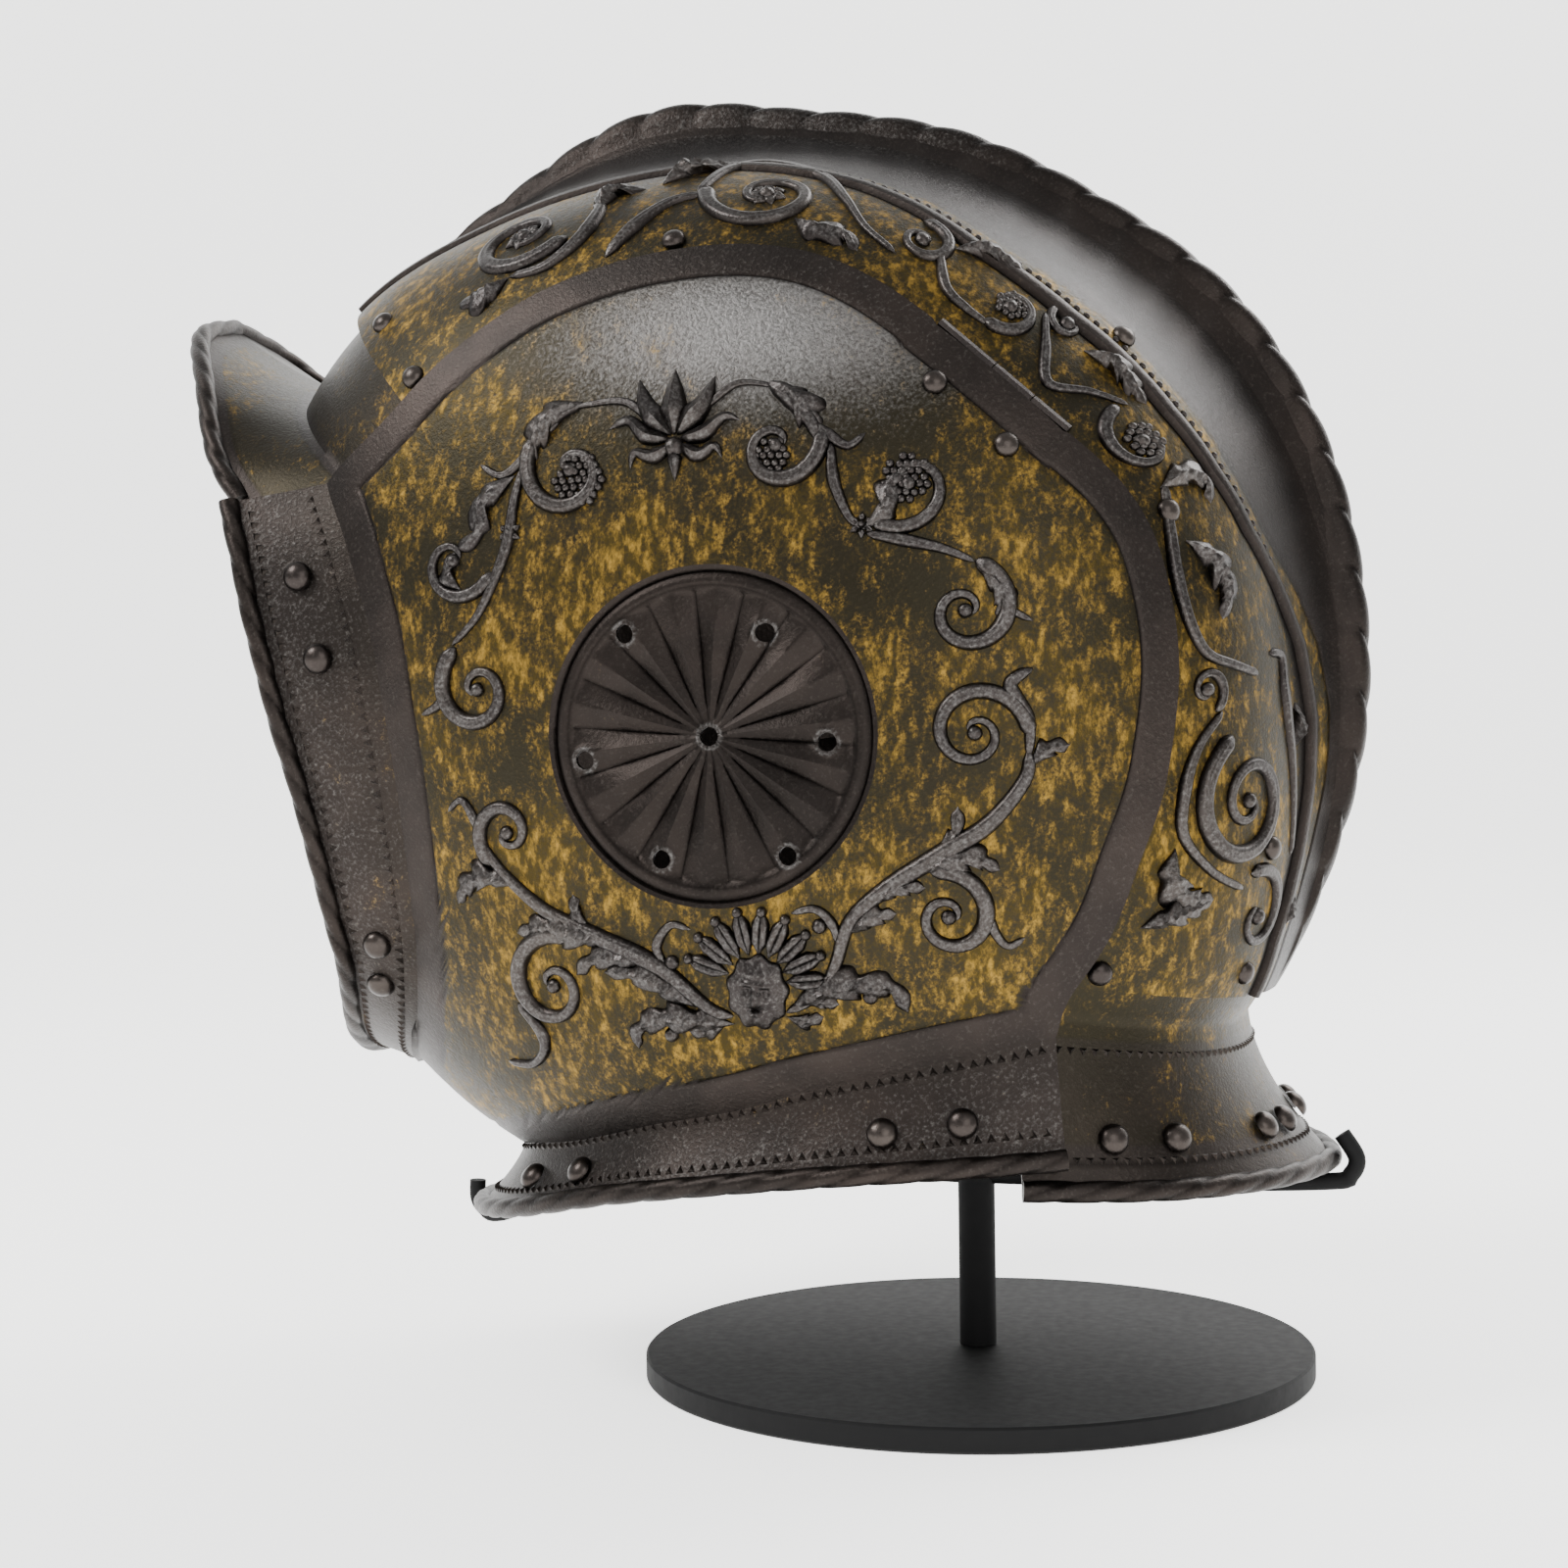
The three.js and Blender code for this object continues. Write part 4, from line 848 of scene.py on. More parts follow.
probes = np.linspace(1, 0.3, 57)[:, None] * reach_share
far = from_edge(probes)
first = np.argmax(far >= GILT_FROM, axis=0)
at, before = np.arange(len(spokes)), np.maximum(first - 1, 0)
share = (GILT_FROM - far[before, at]) / (far[first, at] - far[before, at]).clip(0.01)
gilt_from = lerp(probes[before, at], probes[first, at], share.clip(0, 1))
stretch = ((reach_share - gilt_from) * span / GILT_FROM).clip(1, 2.5)
stretch = np.mean([np.roll(stretch, k) for k in range(-8, 9)], axis=0)
border = reach_share - BORDER[:, None] * stretch / span
inner = np.linspace(0, 1, INNER_RINGS)[:, None] * border[:1]
shares = np.concatenate([inner[:-1], border])
field = field_point(spokes, edge_turn, edge_swing, shares)
distance = from_edge(shares)
field_groove = (1 - np.abs(distance - GILT_FROM) / LINE_HALF).clip(0) * 0.9
field_normals = grid_normals(field, wrap=True)
if np.einsum("ijk,ijk->", field_normals, field - [0, *EAR]) < 0:
    field_normals = -field_normals
side_y, side_z = field[..., 1] - EAR[0], field[..., 2] - EAR[1]
rubbed_sheen_y, rubbed_sheen_z, reach_y, reach_z = RUBBED_SHEEN
rubbed_sheen_top = np.exp(-(((side_y - rubbed_sheen_y) / reach_y) ** 2) - ((side_z - rubbed_sheen_z) / reach_z) ** 2)
ground = distance > GILT_FROM + 0.3
# Over the patch the gilt thins as real wear, and the silver tone rises as a painted highlight.
field_gilt = np.where(ground, 0.85 - 0.55 * rubbed_sheen_top, 0.0)
field_bare_and_sheen = np.where(ground, 0.62, 0.2) * rubbed_sheen_top
field_outer = field - LINE_DEPTH * field_normals * field_groove[..., None]
field_outer[..., 0] = field_outer[..., 0].clip(SEAM)
print("field grid:", field.shape[:2], "rosette to edge:", span.min().round(1), "to", span.max().round(1))

# %% [markdown]
# The ear rosette is embossed: flutes run from its middle to a plain ring, with fine lines chased
# between them, and seven holes let sound through. The holes are really cut: the grid's faces inside
# a hole are left out, and the points round it are drawn onto its circle.

# %% The rosette
ROSETTE_COLUMNS, ROSETTE_RINGS, FLUTES = 288, 44, 18
ROSETTE_DEPTHS = np.array([
    # radius, depth of the ribs, depth of the flutes
    (0, 1.3, 1.3), (6, 1.0, 1.6), (22, 0.3, 2.6), (34.4, 0.8, 2.1), (35.6, 0.9, 0.9), (36.2, 0.3, 0.3),
    (38.6, 0.4, 0.4), (39.1, 1.3, 1.3), (40.0, 0, 0),
])
HOLE = 2.25
HOLES = np.array([
    # y, z from the ear
    (0, 0), (-21, 24.7), (13.9, 24.3), (28.5, -1.6), (18.6, -28.4), (-12.8, -29.2), (-31.8, -5.4),
])


def cut_holes(y, z, faces):
    """Leaves out the quads whose middle lies in a hole, and draws the corners that they share with
    the quads around onto the hole's circle. The hole in the middle is the grid's own."""
    keep = np.ones(len(faces), bool)
    for hole_y, hole_z in HOLES[1:]:
        radius = np.hypot(y - hole_y, z - hole_z)
        centre = radius[faces].mean(1)
        keep &= centre > HOLE
        rim = np.zeros(len(y), bool)
        rim[faces[centre <= HOLE]] = True
        outer_corner = np.zeros(len(y), bool)
        outer_corner[faces[centre > HOLE]] = True
        snap = rim & outer_corner
        y[snap] = hole_y + (y[snap] - hole_y) * HOLE / radius[snap]
        z[snap] = hole_z + (z[snap] - hole_z) * HOLE / radius[snap]
    return faces[keep]


def walled(points, faces, normals, wall=WALL):
    """Closed body of any quads: the inner face repeats the outer one a wall lower, and each edge
    that only one quad uses gets a wall."""
    count = len(points)
    edges = np.concatenate([np.stack([faces[:, k], faces[:, (k + 1) % 4]], -1) for k in range(4)])
    code = edges[:, 0] * count + edges[:, 1]
    back = edges[:, 1] * count + edges[:, 0]
    free = edges[~np.isin(code, back)]
    rim = np.stack([free[:, 1], free[:, 0], free[:, 0] + count, free[:, 1] + count], -1)
    used = np.unique(np.concatenate([faces, faces + count]))
    both = np.concatenate([points, points - wall * normals])[used]
    renumber = np.zeros(2 * count, int)
    renumber[used] = np.arange(len(used))
    quads = [renumber[faces], renumber[(faces + count)[:, ::-1]], renumber[rim]]
    return {"points": both, "faces": quads, "used": used % count, "outer": used < count}


radius = np.linspace(HOLE, ROSETTE, ROSETTE_RINGS + 1)
for line in ROSETTE_DEPTHS[3:8, 0]:
    radius[np.abs(radius - line).argmin()] = line
spoke = FIRST_SPOKE - 360 * np.arange(ROSETTE_COLUMNS) / ROSETTE_COLUMNS
turns, radii = np.meshgrid(np.radians(spoke), radius)
field_edge = np.hypot(*(field[0, :, 1:] - EAR).T)
field_spoke = np.radians(spokes)
edge_at = np.interp(-turns[0], -field_spoke, field_edge)
radii = radii * lerp(1, edge_at / ROSETTE, (radii / ROSETTE) ** 8)
flute_turn = FLUTES * (turns - np.radians(FIRST_SPOKE))
share_of_flute = np.abs((flute_turn / (2 * np.pi)) % 1 * 2 - 1)
rib, flute = (np.interp(radii, ROSETTE_DEPTHS[:, 0], ROSETTE_DEPTHS[:, k]) for k in (1, 2))
chased = (np.abs(np.sin(flute_turn / 2)) < 0.1) & (radii < 35) & (radii > 8)
depth = lerp(rib, flute, share_of_flute) + 0.2 * chased
rosette_y, rosette_z = (radii * np.sin(turns)).ravel(), (radii * np.cos(turns)).ravel()
rosette_faces = cut_holes(rosette_y, rosette_z, grid(*radii.shape, wrap=True))
plain = on_shell(rosette_y, rosette_z, CHEEK_LIFT)
rosette_normals = np.repeat([[1.0, 0.0, 0.0]], len(plain), 0)
near_hole = np.min([np.hypot(rosette_y - a, rosette_z - b) for a, b in HOLES], 0)
raised_rim = 0.5 * np.exp(-(((near_hole - HOLE - 0.5) / 0.7) ** 2))
rosette_points = plain - rosette_normals * (depth.ravel() - raised_rim)[:, None]
rosette = walled(rosette_points, rosette_faces, rosette_normals)
ring_line = np.exp(-(((radii - 35.8) / 0.5) ** 2)) + np.exp(-(((radii - 39.2) / 0.6) ** 2))
rosette_groove = np.maximum(0.42 + 0.4 * chased, 0.9 * ring_line).ravel()
rosette["marks"] = {"groove": rosette_groove[rosette["used"]] * rosette["outer"],
                    "gilt": np.full(len(rosette["points"]), 0.05),
                    "bare": raised_rim[rosette["used"]]}
print("rosette faces:", len(rosette_faces))

# %% [markdown]
# The flanges are grids along their crease and out to the rim, which is turned over as a rope. Beside
# the rope runs a double row of small triangular punch marks, made with one three-cornered punch
# struck again and again; each is a pyramid of four faces, because there are hundreds of them.

# %% Flanges, ropes and punched rows
TOOTH = 0.7  # height of a tooth
TOOTH_HALF = 0.46  # half width of a tooth against its pitch
ROPE_LINE = 0.86  # share of a flange at which the line beside its rope is cut


def teeth(line, normals, pitch, size, turn):
    """Row of pyramids: at every pitch along the line a triangle with its base on the line and its
    tip a size away sideways, raised in its middle along the normal."""
    along = lengths(line)
    count = int(along[-1] / pitch)
    middle = (np.arange(count) + 0.5) * pitch + (along[-1] - count * pitch) / 2

    def read(rows, place):
        return np.stack([np.interp(place, along, rows[:, k]) for k in range(3)], -1)

    normal = unit(read(normals, middle))
    a, b = read(line, middle - TOOTH_HALF * pitch), read(line, middle + TOOTH_HALF * pitch)
    sideways = unit(np.cross(normal, b - a)) * size * turn
    tip = (a + b) / 2 + sideways
    top = (a + b) / 2 + sideways / 3 + normal * TOOTH
    low = -0.25 * normal
    points = np.stack([a + low, b + low, tip + low, top], 1).reshape(-1, 3)
    corner = 4 * np.arange(count)[:, None]
    faces = np.concatenate([corner + row for row in ([0, 1, 3], [1, 2, 3], [2, 0, 3], [0, 2, 1])])
    return outward({"points": points, "faces": [faces], "marks": {"gilt": np.full(len(points), 0.3)}})


BEAD = [(1.0, -0.25), (0.93, 0.35), (0.6, 0.8)]
CLIMB = np.radians(np.linspace(0, 90, 8))[:-1]
HALF_ROUND = np.stack([np.cos(CLIMB), np.sin(CLIMB)], -1)


def domes(points, normals, radius, height, sides, profile=BEAD):
    """Turned heads on their axes, one at each point: the profile's rows give shares of the radius
    and of the height from the foot up, and fans close the top and the foot."""
    normals = unit(normals)
    other = np.where(np.abs(normals[:, 2:]) < 0.9, [[0.0, 0, 1]], [[1.0, 0, 0]])
    u = unit(np.cross(normals, other))
    v = np.cross(normals, u)
    angle = 2 * np.pi * np.arange(sides) / sides
    ring = u[:, None] * np.cos(angle)[:, None] + v[:, None] * np.sin(angle)[:, None]
    levels = [points[:, None] + radius * r * ring + height * h * normals[:, None] for r, h in profile]
    ends = [points[:, None] + height * h * normals[:, None] for h in (1, profile[0][1])]
    body = np.concatenate([*levels, *ends], 1)
    k, n, top = np.arange(sides), (np.arange(sides) + 1) % sides, len(profile) * sides
    fans = np.concatenate([np.stack([np.full(sides, top), n + top - sides, k + top - sides], -1),
                           np.stack([k, n, np.full(sides, top + 1)], -1)])
    step = body.shape[1] * np.arange(len(points))[:, None, None]
    faces = [(grid(len(profile), sides, wrap=True) + step).reshape(-1, 4), (fans + step).reshape(-1, 3)]
    return outward({"points": body.reshape(-1, 3), "faces": faces, "marks": {}})


def flange(surface, columns, rows, gilt):
    """Closed patch of a flange with a fine line cut beside its rope."""
    along, out = np.meshgrid(np.linspace(0, 1, columns + 1), np.linspace(0, 1, rows + 1))
    points = surface(along, out)
    points[..., 0] = points[..., 0].clip(SEAM)
    cut = (1 - np.abs(out - ROPE_LINE) * rows).clip(0)
    marks = {"gilt": gilt * (1 - 0.4 * out), "groove": 0.7 * cut, "bare": 0.14 + 0.1 * out}
    return outward_plate(points, points, **marks)


def row_on(surface, out, count=400, trim=0.015):
    """Line on a flange at a share of its width, short of both ends, with its normals."""
    return spot(surface, np.linspace(trim, 1 - trim, count), np.full(count, out))


def clipped(body, least=SEAM):
    """Keeps a body of the left side off the mid-plane by the seam's half gap."""
    body["points"][:, 0] = body["points"][:, 0].clip(least)
    return body


field_marks = {"gilt": field_gilt, "bare": field_bare_and_sheen, "groove": field_groove}
field_plate = plate(field_outer, base=field, wrap=True, **field_marks)
cheek_bodies = [outward(field_plate), outward(rosette)]
cheek_bodies += [flange(face_flange, 144, 24, 0.35), flange(neck_flange, 128, 24, 0.3)]
for surface, rows in ((face_flange, ((0.84, 1), (0.16, -1))), (neck_flange, ((0.12, 1), (0.8, 1)))):
    rim = surface(np.linspace(0, 1, 300), 1.0)
    cheek_bodies.append(clipped(rope(rim)))
    for out, way in rows:
        line, normals = row_on(surface, out)
        cheek_bodies.append(clipped(teeth(line, normals, 3.3, 3.0, turn=way), 2 * SEAM))
for side_name, hand in (("left", 1), ("right", -1)):
    bodies = cheek_bodies if hand > 0 else [flipped(body) for body in cheek_bodies]
    build(f"cheek_plate_{side_name}", bodies, plate_steel, f"cheek_{side_name}",
          [f"cheekpiece_{side_name}"])

# %% [markdown]
# The raised scrollwork was beaten up from behind and chased from the front. It is designed flat, as
# places in side view and a height over the plate, because a flat drawing is easy to lay out, and
# all of it is then draped on the plate at once. Three shapes do nearly everything: a half-round
# strip that tapers along a path, the same strip with lobed edges and a midrib for a leaf, and a
# dome for knobs and berries. Paths are spirals, given by centre and reach, or a few places joined
# by a smooth curve.

# %% Shapes of the ornament
ACROSS = np.linspace(-1, 1, 9)


def spiral(y, z, reach, start, sweep, heart=0.14):
    """Path that winds in round a centre: the reach shrinks with the 0.8th power of the share of
    the sweep, from 1 to the heart's share, starting at an angle from straight up."""
    share = np.linspace(0, 1, 90)
    angle = np.radians(start + sweep * share)
    radius = reach * lerp(1, heart, share**0.8)
    return np.stack([y + radius * np.sin(angle), z + radius * np.cos(angle)], -1)


def smooth(places):
    """Path through a few places, as the cubic of the tables."""
    return curve(places, np.linspace(0, len(places) - 1, 20 * len(places)))


def strip(path, width, rise, ends=(0.5, 0.5), lobes=0, rib=0.0, spacing=0.7):
    """Closed strip of half round section. Across it t goes from -1 to 1 and the height is
    rise sqrt(1 - t^2), plus a rib of exp(-(t / 0.22)^2) where the sign of rib sets a ridge or a
    groove. Along it the width goes from one end's share to full and to the other's, rounded off at
    both ends, and lobes scallop it by |sin|."""
    line = evenly(path, spacing)
    along = lengths(line)
    share = along / along[-1]
    grow = np.interp(share, [0, 0.35, 1], [ends[0], 1, ends[1]])
    nearest = np.minimum(along, along[-1] - along) / (0.6 * width)
    grow = grow * np.sqrt(nearest.clip(0.02, 1))
    edge = grow * (1 - 0.42 * np.cos(np.pi * lobes * share) ** 4) if lobes else grow
    tangent = unit(np.gradient(line, axis=0))
    beside = np.stack([tangent[:, 1], -tangent[:, 0]], -1)
    sweep = (0.5 * np.abs(ACROSS) ** 2 * width)[None, :, None] if lobes else 0.0
    flat = line[:, None] + edge[:, None, None] * width / 2 * ACROSS[None, :, None] * beside[:, None]
    flat = flat + sweep * tangent[:, None] * edge[:, None, None]
    crest = np.sqrt((1 - ACROSS**2).clip(0)) + rib * np.exp(-((ACROSS / 0.22) ** 2))
    veins = 0.12 * np.cos(2 * np.pi * (2 * lobes * share[:, None] + np.abs(ACROSS))) if lobes else 0.0
    height = rise * grow[:, None] * (crest + veins * (1 - ACROSS**2))
    top = np.concatenate([flat, height[..., None] - 0.05], -1)
    under = top[:, [-1, 0]] - [0, 0, 0.5]
    rings = np.concatenate([top, under], 1)
    rows, count = rings.shape[:2]
    foot = np.append(np.broadcast_to(np.append(ACROSS**6, [1, 1]), (rows, count)), [1, 1])
    # Each strip's foot is darkened as painted shade, and its crest is lightened as rubbed wear.
    return tube(rings, groove=0.55 * foot, bare=0.3 * (1 - foot))


def knobs(places, radius, height):
    """Domes at flat places, whose normal is the third coordinate."""
    places = np.asarray(places, float).reshape(-1, 2)
    points = np.concatenate([places, np.zeros((len(places), 1))], -1)
    made = domes(points, np.broadcast_to([0.0, 0, 1], points.shape), radius, height, 12)
    made["marks"] = {"bare": np.full(len(made["points"]), 0.25)}
    return made


def cluster(y, z, reach, radius):
    """Berries in hexagonal rows inside a circle, each pushed a little off its place."""
    step = 1.75 * radius
    r, c = np.mgrid[-4:5, -4:5]
    places = np.stack([y + step * (c + 0.5 * (r % 2)), z + 0.87 * step * r], -1).reshape(-1, 2)
    places = places[np.hypot(places[:, 0] - y, places[:, 1] - z) < reach]
    return knobs(places + noise_seed.normal(0, 0.12 * radius, places.shape), radius, 1.1 * radius)


def rosebud(y, z, reach, petals, rise=1.6):
    """Ring of short petals round a knob."""
    angle = np.radians(360 * np.arange(petals) / petals)
    ways = np.stack([np.sin(angle), np.cos(angle)], -1)
    centre = np.array([y, z])
    made = [strip(centre + np.outer([0.2, 0.6, 1.0], way) * reach, 0.75 * reach, rise, (0.6, 0.7), rib=-0.3)
            for way in ways]
    return [*made, knobs([centre], 0.3 * reach, 1.4 * rise)]


def drape(bodies, surface):
    """Carries flat bodies onto a surface of two parameters: point plus height times normal."""
    for body in bodies:
        a, b, height = body["points"].T
        point, normal = spot(surface, a, b)
        body["points"] = point + normal * height[:, None]
        outward(body)
    return bodies


def cheek_face(y, z):
    """Outer face of the cheekpiece over a place in side view from the ear."""
    return on_shell(y, z, CHEEK_LIFT)


# %% [markdown]
# The cheekpiece's scrolls spring from a bud above the rosette and from a grotesque mask below it.
# Each row is a spiral or a stem in millimetres from the ear, towards the nape and up. The mask is
# a height field of the lesson's own design: a dome with a nose, brows, cheeks and a mouth as bell
# curves, framed by leaves.

# %% The cheekpiece's scrollwork
SPIRALS = [
    # y, z, reach, start, sweep, width
    (-35.5, 64.5, 13.0, -50, -400, 2.9), (-66.5, 43.5, 11.5, 105, 330, 2.4),
    (-60, 12, 12.0, -30, -470, 2.9), (16, 68.5, 11.5, 70, 380, 2.9),
    (47.5, 58.5, 12.0, 225, -330, 2.4), (61, 28.5, 12.0, 10, 470, 2.8), (63, 0, 12.5, 95, -520, 2.6),
    (56, -43, 11.5, -20, 500, 2.8), (-54, -23, 9.5, 210, 440, 2.6), (-45, -61, 14.0, 30, -480, 3.0),
]
STEMS = [
    # width, then places
    (1.5, [(-14, 72), (-18, 78), (-24, 81), (-36, 80)]),
    (2.6, [(-33, 81), (-40, 78), (-45, 72), (-48, 64)]),
    (2.0, [(-39, 77), (-45, 72), (-49, 67), (-54, 64), (-60, 67)]),
    (2.2, [(-48, 66), (-50, 58), (-52, 46), (-59, 31), (-67, 23)]),
    (1.4, [(-3, 76), (-1, 79), (6, 84), (15, 83)]), (3.4, [(13, 84), (19, 80), (24, 74), (26, 69)]),
    (2.0, [(24, 74), (28, 71), (33, 68), (37, 71)]), (2.2, [(29, 69), (30, 60), (34, 51), (38, 48)]),
    (2.2, [(38, 47), (48, 45), (56, 43), (63, 40)]), (2.0, [(63, 40), (68, 35), (71, 29), (76, 26)]),
    (2.0, [(-69, 14), (-71, 9), (-77, 6)]), (2.6, [(76, 15), (71, 11), (75, 3), (75, -6)]),
    (3.2, [(75, -4), (74, -11), (66, -21), (55, -28), (42, -36), (33, -44), (29, -54), (25, -61),
           (16, -66)]),
    (1.8, [(65, -40), (66, -46), (69, -50), (73, -48)]),
    (1.9, [(30, -50), (29, -45), (25, -41), (19, -42)]),
    (3.2, [(3, -67), (-3, -65), (-15, -55), (-31, -48), (-45, -42), (-56, -33), (-62, -25)]),
    (1.8, [(-61, -25), (-64, -18), (-67, -15), (-71, -18)]),
    (1.9, [(-13, -55), (-15, -50), (-11, -45), (-6, -46)]),
    (2.2, [(-57, -66), (-51, -73), (-51, -78), (-56, -82), (-64, -82)]),
]
LEAVES = [
    # width, lobes, then places from the root to the tip
    (6.0, 3, [(-34, 81), (-40, 79), (-45, 73), (-47, 66)]),
    (5.0, 3, [(-50, 64), (-58, 58), (-60, 50), (-66, 46)]),
    (5.0, 3, [(37, 48), (42, 52), (43, 58), (48, 62)]), (6.5, 3, [(15, 83), (21, 79), (26, 72)]),
    (4.0, 2, [(-64, 36), (-68, 40), (-66, 46)]), (4.6, 3, [(64, 39), (69, 33), (69, 26)]),
    (4.0, 2, [(75, -8), (79, -4), (84, -3)]), (3.6, 2, [(53, -29), (58, -24), (59, -17)]),
    (5.6, 4, [(49, -32), (56, -30), (62, -29), (68, -32)]),
    (4.4, 3, [(38, -40), (44, -36), (51, -36)]), (4.4, 3, [(32, -47), (38, -43), (44, -42)]),
    (6.0, 4, [(17, -65), (27, -60), (36, -59), (42, -60), (45, -66)]),
    (3.6, 2, [(20, -64), (24, -63), (29, -64)]), (3.4, 2, [(16, -67), (20, -68), (25, -67)]),
    (5.6, 4, [(-53, -36), (-61, -34), (-67, -36), (-71, -41)]),
    (3.6, 2, [(-33, -46), (-36, -43), (-37, -38)]),
    (6.2, 5, [(-27, -49), (-36, -48), (-45, -46), (-54, -48)]),
    (5.0, 3, [(-17, -54), (-26, -53), (-33, -54), (-38, -58)]),
    (5.2, 3, [(-6, -65), (-14, -60), (-22, -57), (-30, -57)]),
    (5.8, 4, [(3, -69), (-7, -68), (-15, -68), (-22, -71), (-23, -76)]),
    (3.4, 2, [(1, -69), (-4, -71), (-9, -71)]),
]
BOLD = 1.55  # widths of the scrolls against the widths in their tables
MASK_PLACE, MASK_HALF, MASK_TILT = (9.5, -61.0), (7.6, 9.2), 8.0
FAN_LOBES, FAN_REACH = 9, 17.5
BUD_PETALS = [
    # width, places from the root to the tip
    (7.5, [(-9.3, 72), (-9.5, 77), (-9.8, 82), (-10, 88)]),
    (6.5, [(-10, 72), (-14, 76), (-17, 80), (-19, 86)]),
    (6.5, [(-8.5, 72), (-5, 76), (-2, 80), (0, 86)]),
    (4.6, [(-10, 71), (-16, 72), (-21, 76), (-26, 74)]),
    (4.6, [(-8, 71), (-2, 72), (3, 76), (7, 75)]), (4.2, [(-9, 70), (-14, 67), (-19, 68), (-20, 64)]),
    (4.2, [(-8, 70), (-3, 67), (1, 69), (3, 66)]), (4.0, [(-9, 69), (-8.7, 65), (-8.5, 61)]),
]
FEATURES = [
    # across, up, half width, half height, height, all in mm of the mask; the pairs are mirrored
    (0.0, -0.5, 1.1, 2.0, 1.5), (0.0, -1.9, 1.6, 0.9, 0.8), (1.9, 2.6, 1.7, 0.7, 1.0),
    (2.1, 1.1, 1.1, 0.7, -1.0), (2.1, 0.9, 0.55, 0.45, 0.7), (2.9, -1.2, 1.4, 1.2, 0.6),
    (0.0, -3.7, 1.7, 0.5, -1.1), (0.0, -4.7, 1.2, 0.5, 0.6), (1.3, 4.6, 1.2, 1.3, 0.5),
    (1.2, -6.0, 0.7, 1.6, 0.7),
]


def mask():
    """Polar grid over an oval: a dome 2.6 (1 - r^2)^0.6 plus the features as bell curves."""
    around = np.linspace(0, 2 * np.pi, 64, endpoint=False)
    r, angle = np.meshgrid(np.linspace(0.02, 1, 30), around, indexing="ij")
    scallop = 1 + 0.06 * np.cos(9 * angle) * r
    across, up = MASK_HALF[0] * r * np.sin(angle) * scallop, MASK_HALF[1] * r * np.cos(angle) * scallop
    height = 2.6 * (1 - r**2).clip(0) ** 0.6
    for x, y, half_x, half_y, tall in FEATURES:
        for centre in {x, -x}:
            height += tall * np.exp(-(((across - centre) / half_x) ** 2) - ((up - y) / half_y) ** 2)
    tilt = np.radians(MASK_TILT)
    y = MASK_PLACE[0] + across * np.cos(tilt) + up * np.sin(tilt)
    z = MASK_PLACE[1] - across * np.sin(tilt) + up * np.cos(tilt)
    top = np.stack([y, z, height * (r < 1) - 0.3 * (r == 1)], -1)
    low = top[-1] - [0, 0, 0.5]
    # The mask's rim and underside are darkened as painted shade at its foot.
    dark = np.concatenate([(0.7 * (r > 0.93)).ravel(), np.ones(len(low)), [0, 1]])
    return tube(np.concatenate([top, low[None]]), groove=dark, bare=np.full(len(dark), 0.25))


def shell_fan():
    """Lobes that fan out over the mask: each a strip from near its brow, ending in a small knob."""
    turns = np.radians(MASK_TILT + np.linspace(-78, 78, FAN_LOBES))
    ways = np.stack([np.sin(turns), np.cos(turns)], -1)
    start = np.array(MASK_PLACE) + [0, 2.0]
    paths = [start + np.outer([0.4, 0.7, 1.0], way) * FAN_REACH for way in ways]
    made = [strip(path, 4.6, 2.0, (0.4, 1.0), rib=-0.5) for path in paths]
    return [*made, knobs(start + FAN_REACH * ways, 1.4, 2.0)]


def foliage(spirals, stems, leaves, rise, knob):
    """Spirals with a knob in the heart, stems and lobed leaves of one drawing. The rise is the
    height against the width in the tables, and a knob is given by its radius and height."""
    made = [strip(spiral(*row[:5]), BOLD * row[5], rise * row[5], (1, 0.45), rib=-0.18) for row in spirals]
    made += [knobs([row[:2]], *knob) for row in spirals]
    made += [strip(smooth(places), BOLD * width, rise * width, (0.6, 0.5), rib=-0.18)
             for width, places in stems]
    made += [strip(smooth(places), BOLD * width, 0.4 * width, (0.5, 0.35), lobes, 0.35)
             for width, lobes, places in leaves]
    return made


def scrollwork():
    """All flat bodies of one cheekpiece."""
    made = foliage(SPIRALS, STEMS, LEAVES, 0.75, (1.9, 1.9))
    made += [cluster(-33, 62, 6.2, 1.15), cluster(15, 66, 4.6, 1.1), cluster(47, 60, 5.2, 1.1)]
    made += [strip(smooth(places), width, 0.5 * width, (0.5, 0.25), 0, 0.3) for width, places in BUD_PETALS]
    made += [knobs([(-9, 69)], 2.6, 2.4)] + shell_fan()
    made += rosebud(-51, 50, 3.2, 6) + rosebud(37, 49, 3.2, 6)
    made += [knobs([(-11.3, -54), (25.7, -45), (-13.4, -72), (36.5, -62)], 1.9, 1.9), mask()]
    return made


scrolls = drape(scrollwork(), cheek_face)
for side_name, hand in (("left", 1), ("right", -1)):
    bodies = scrolls if hand > 0 else [flipped(body) for body in scrolls]
    build(f"cheek_scrolls_{side_name}", bodies, relief_steel, f"cheek_{side_name}",
          crease=60)

# %% [markdown]
# The skull's frieze is drawn in the same way, on a strip that lies between the fillet and the
# cheekpiece: its first coordinate is millimetres along the crown, and its second is millimetres up
# from the cheekpiece's edge. The bead band above the fillet carries a row of small pearls.

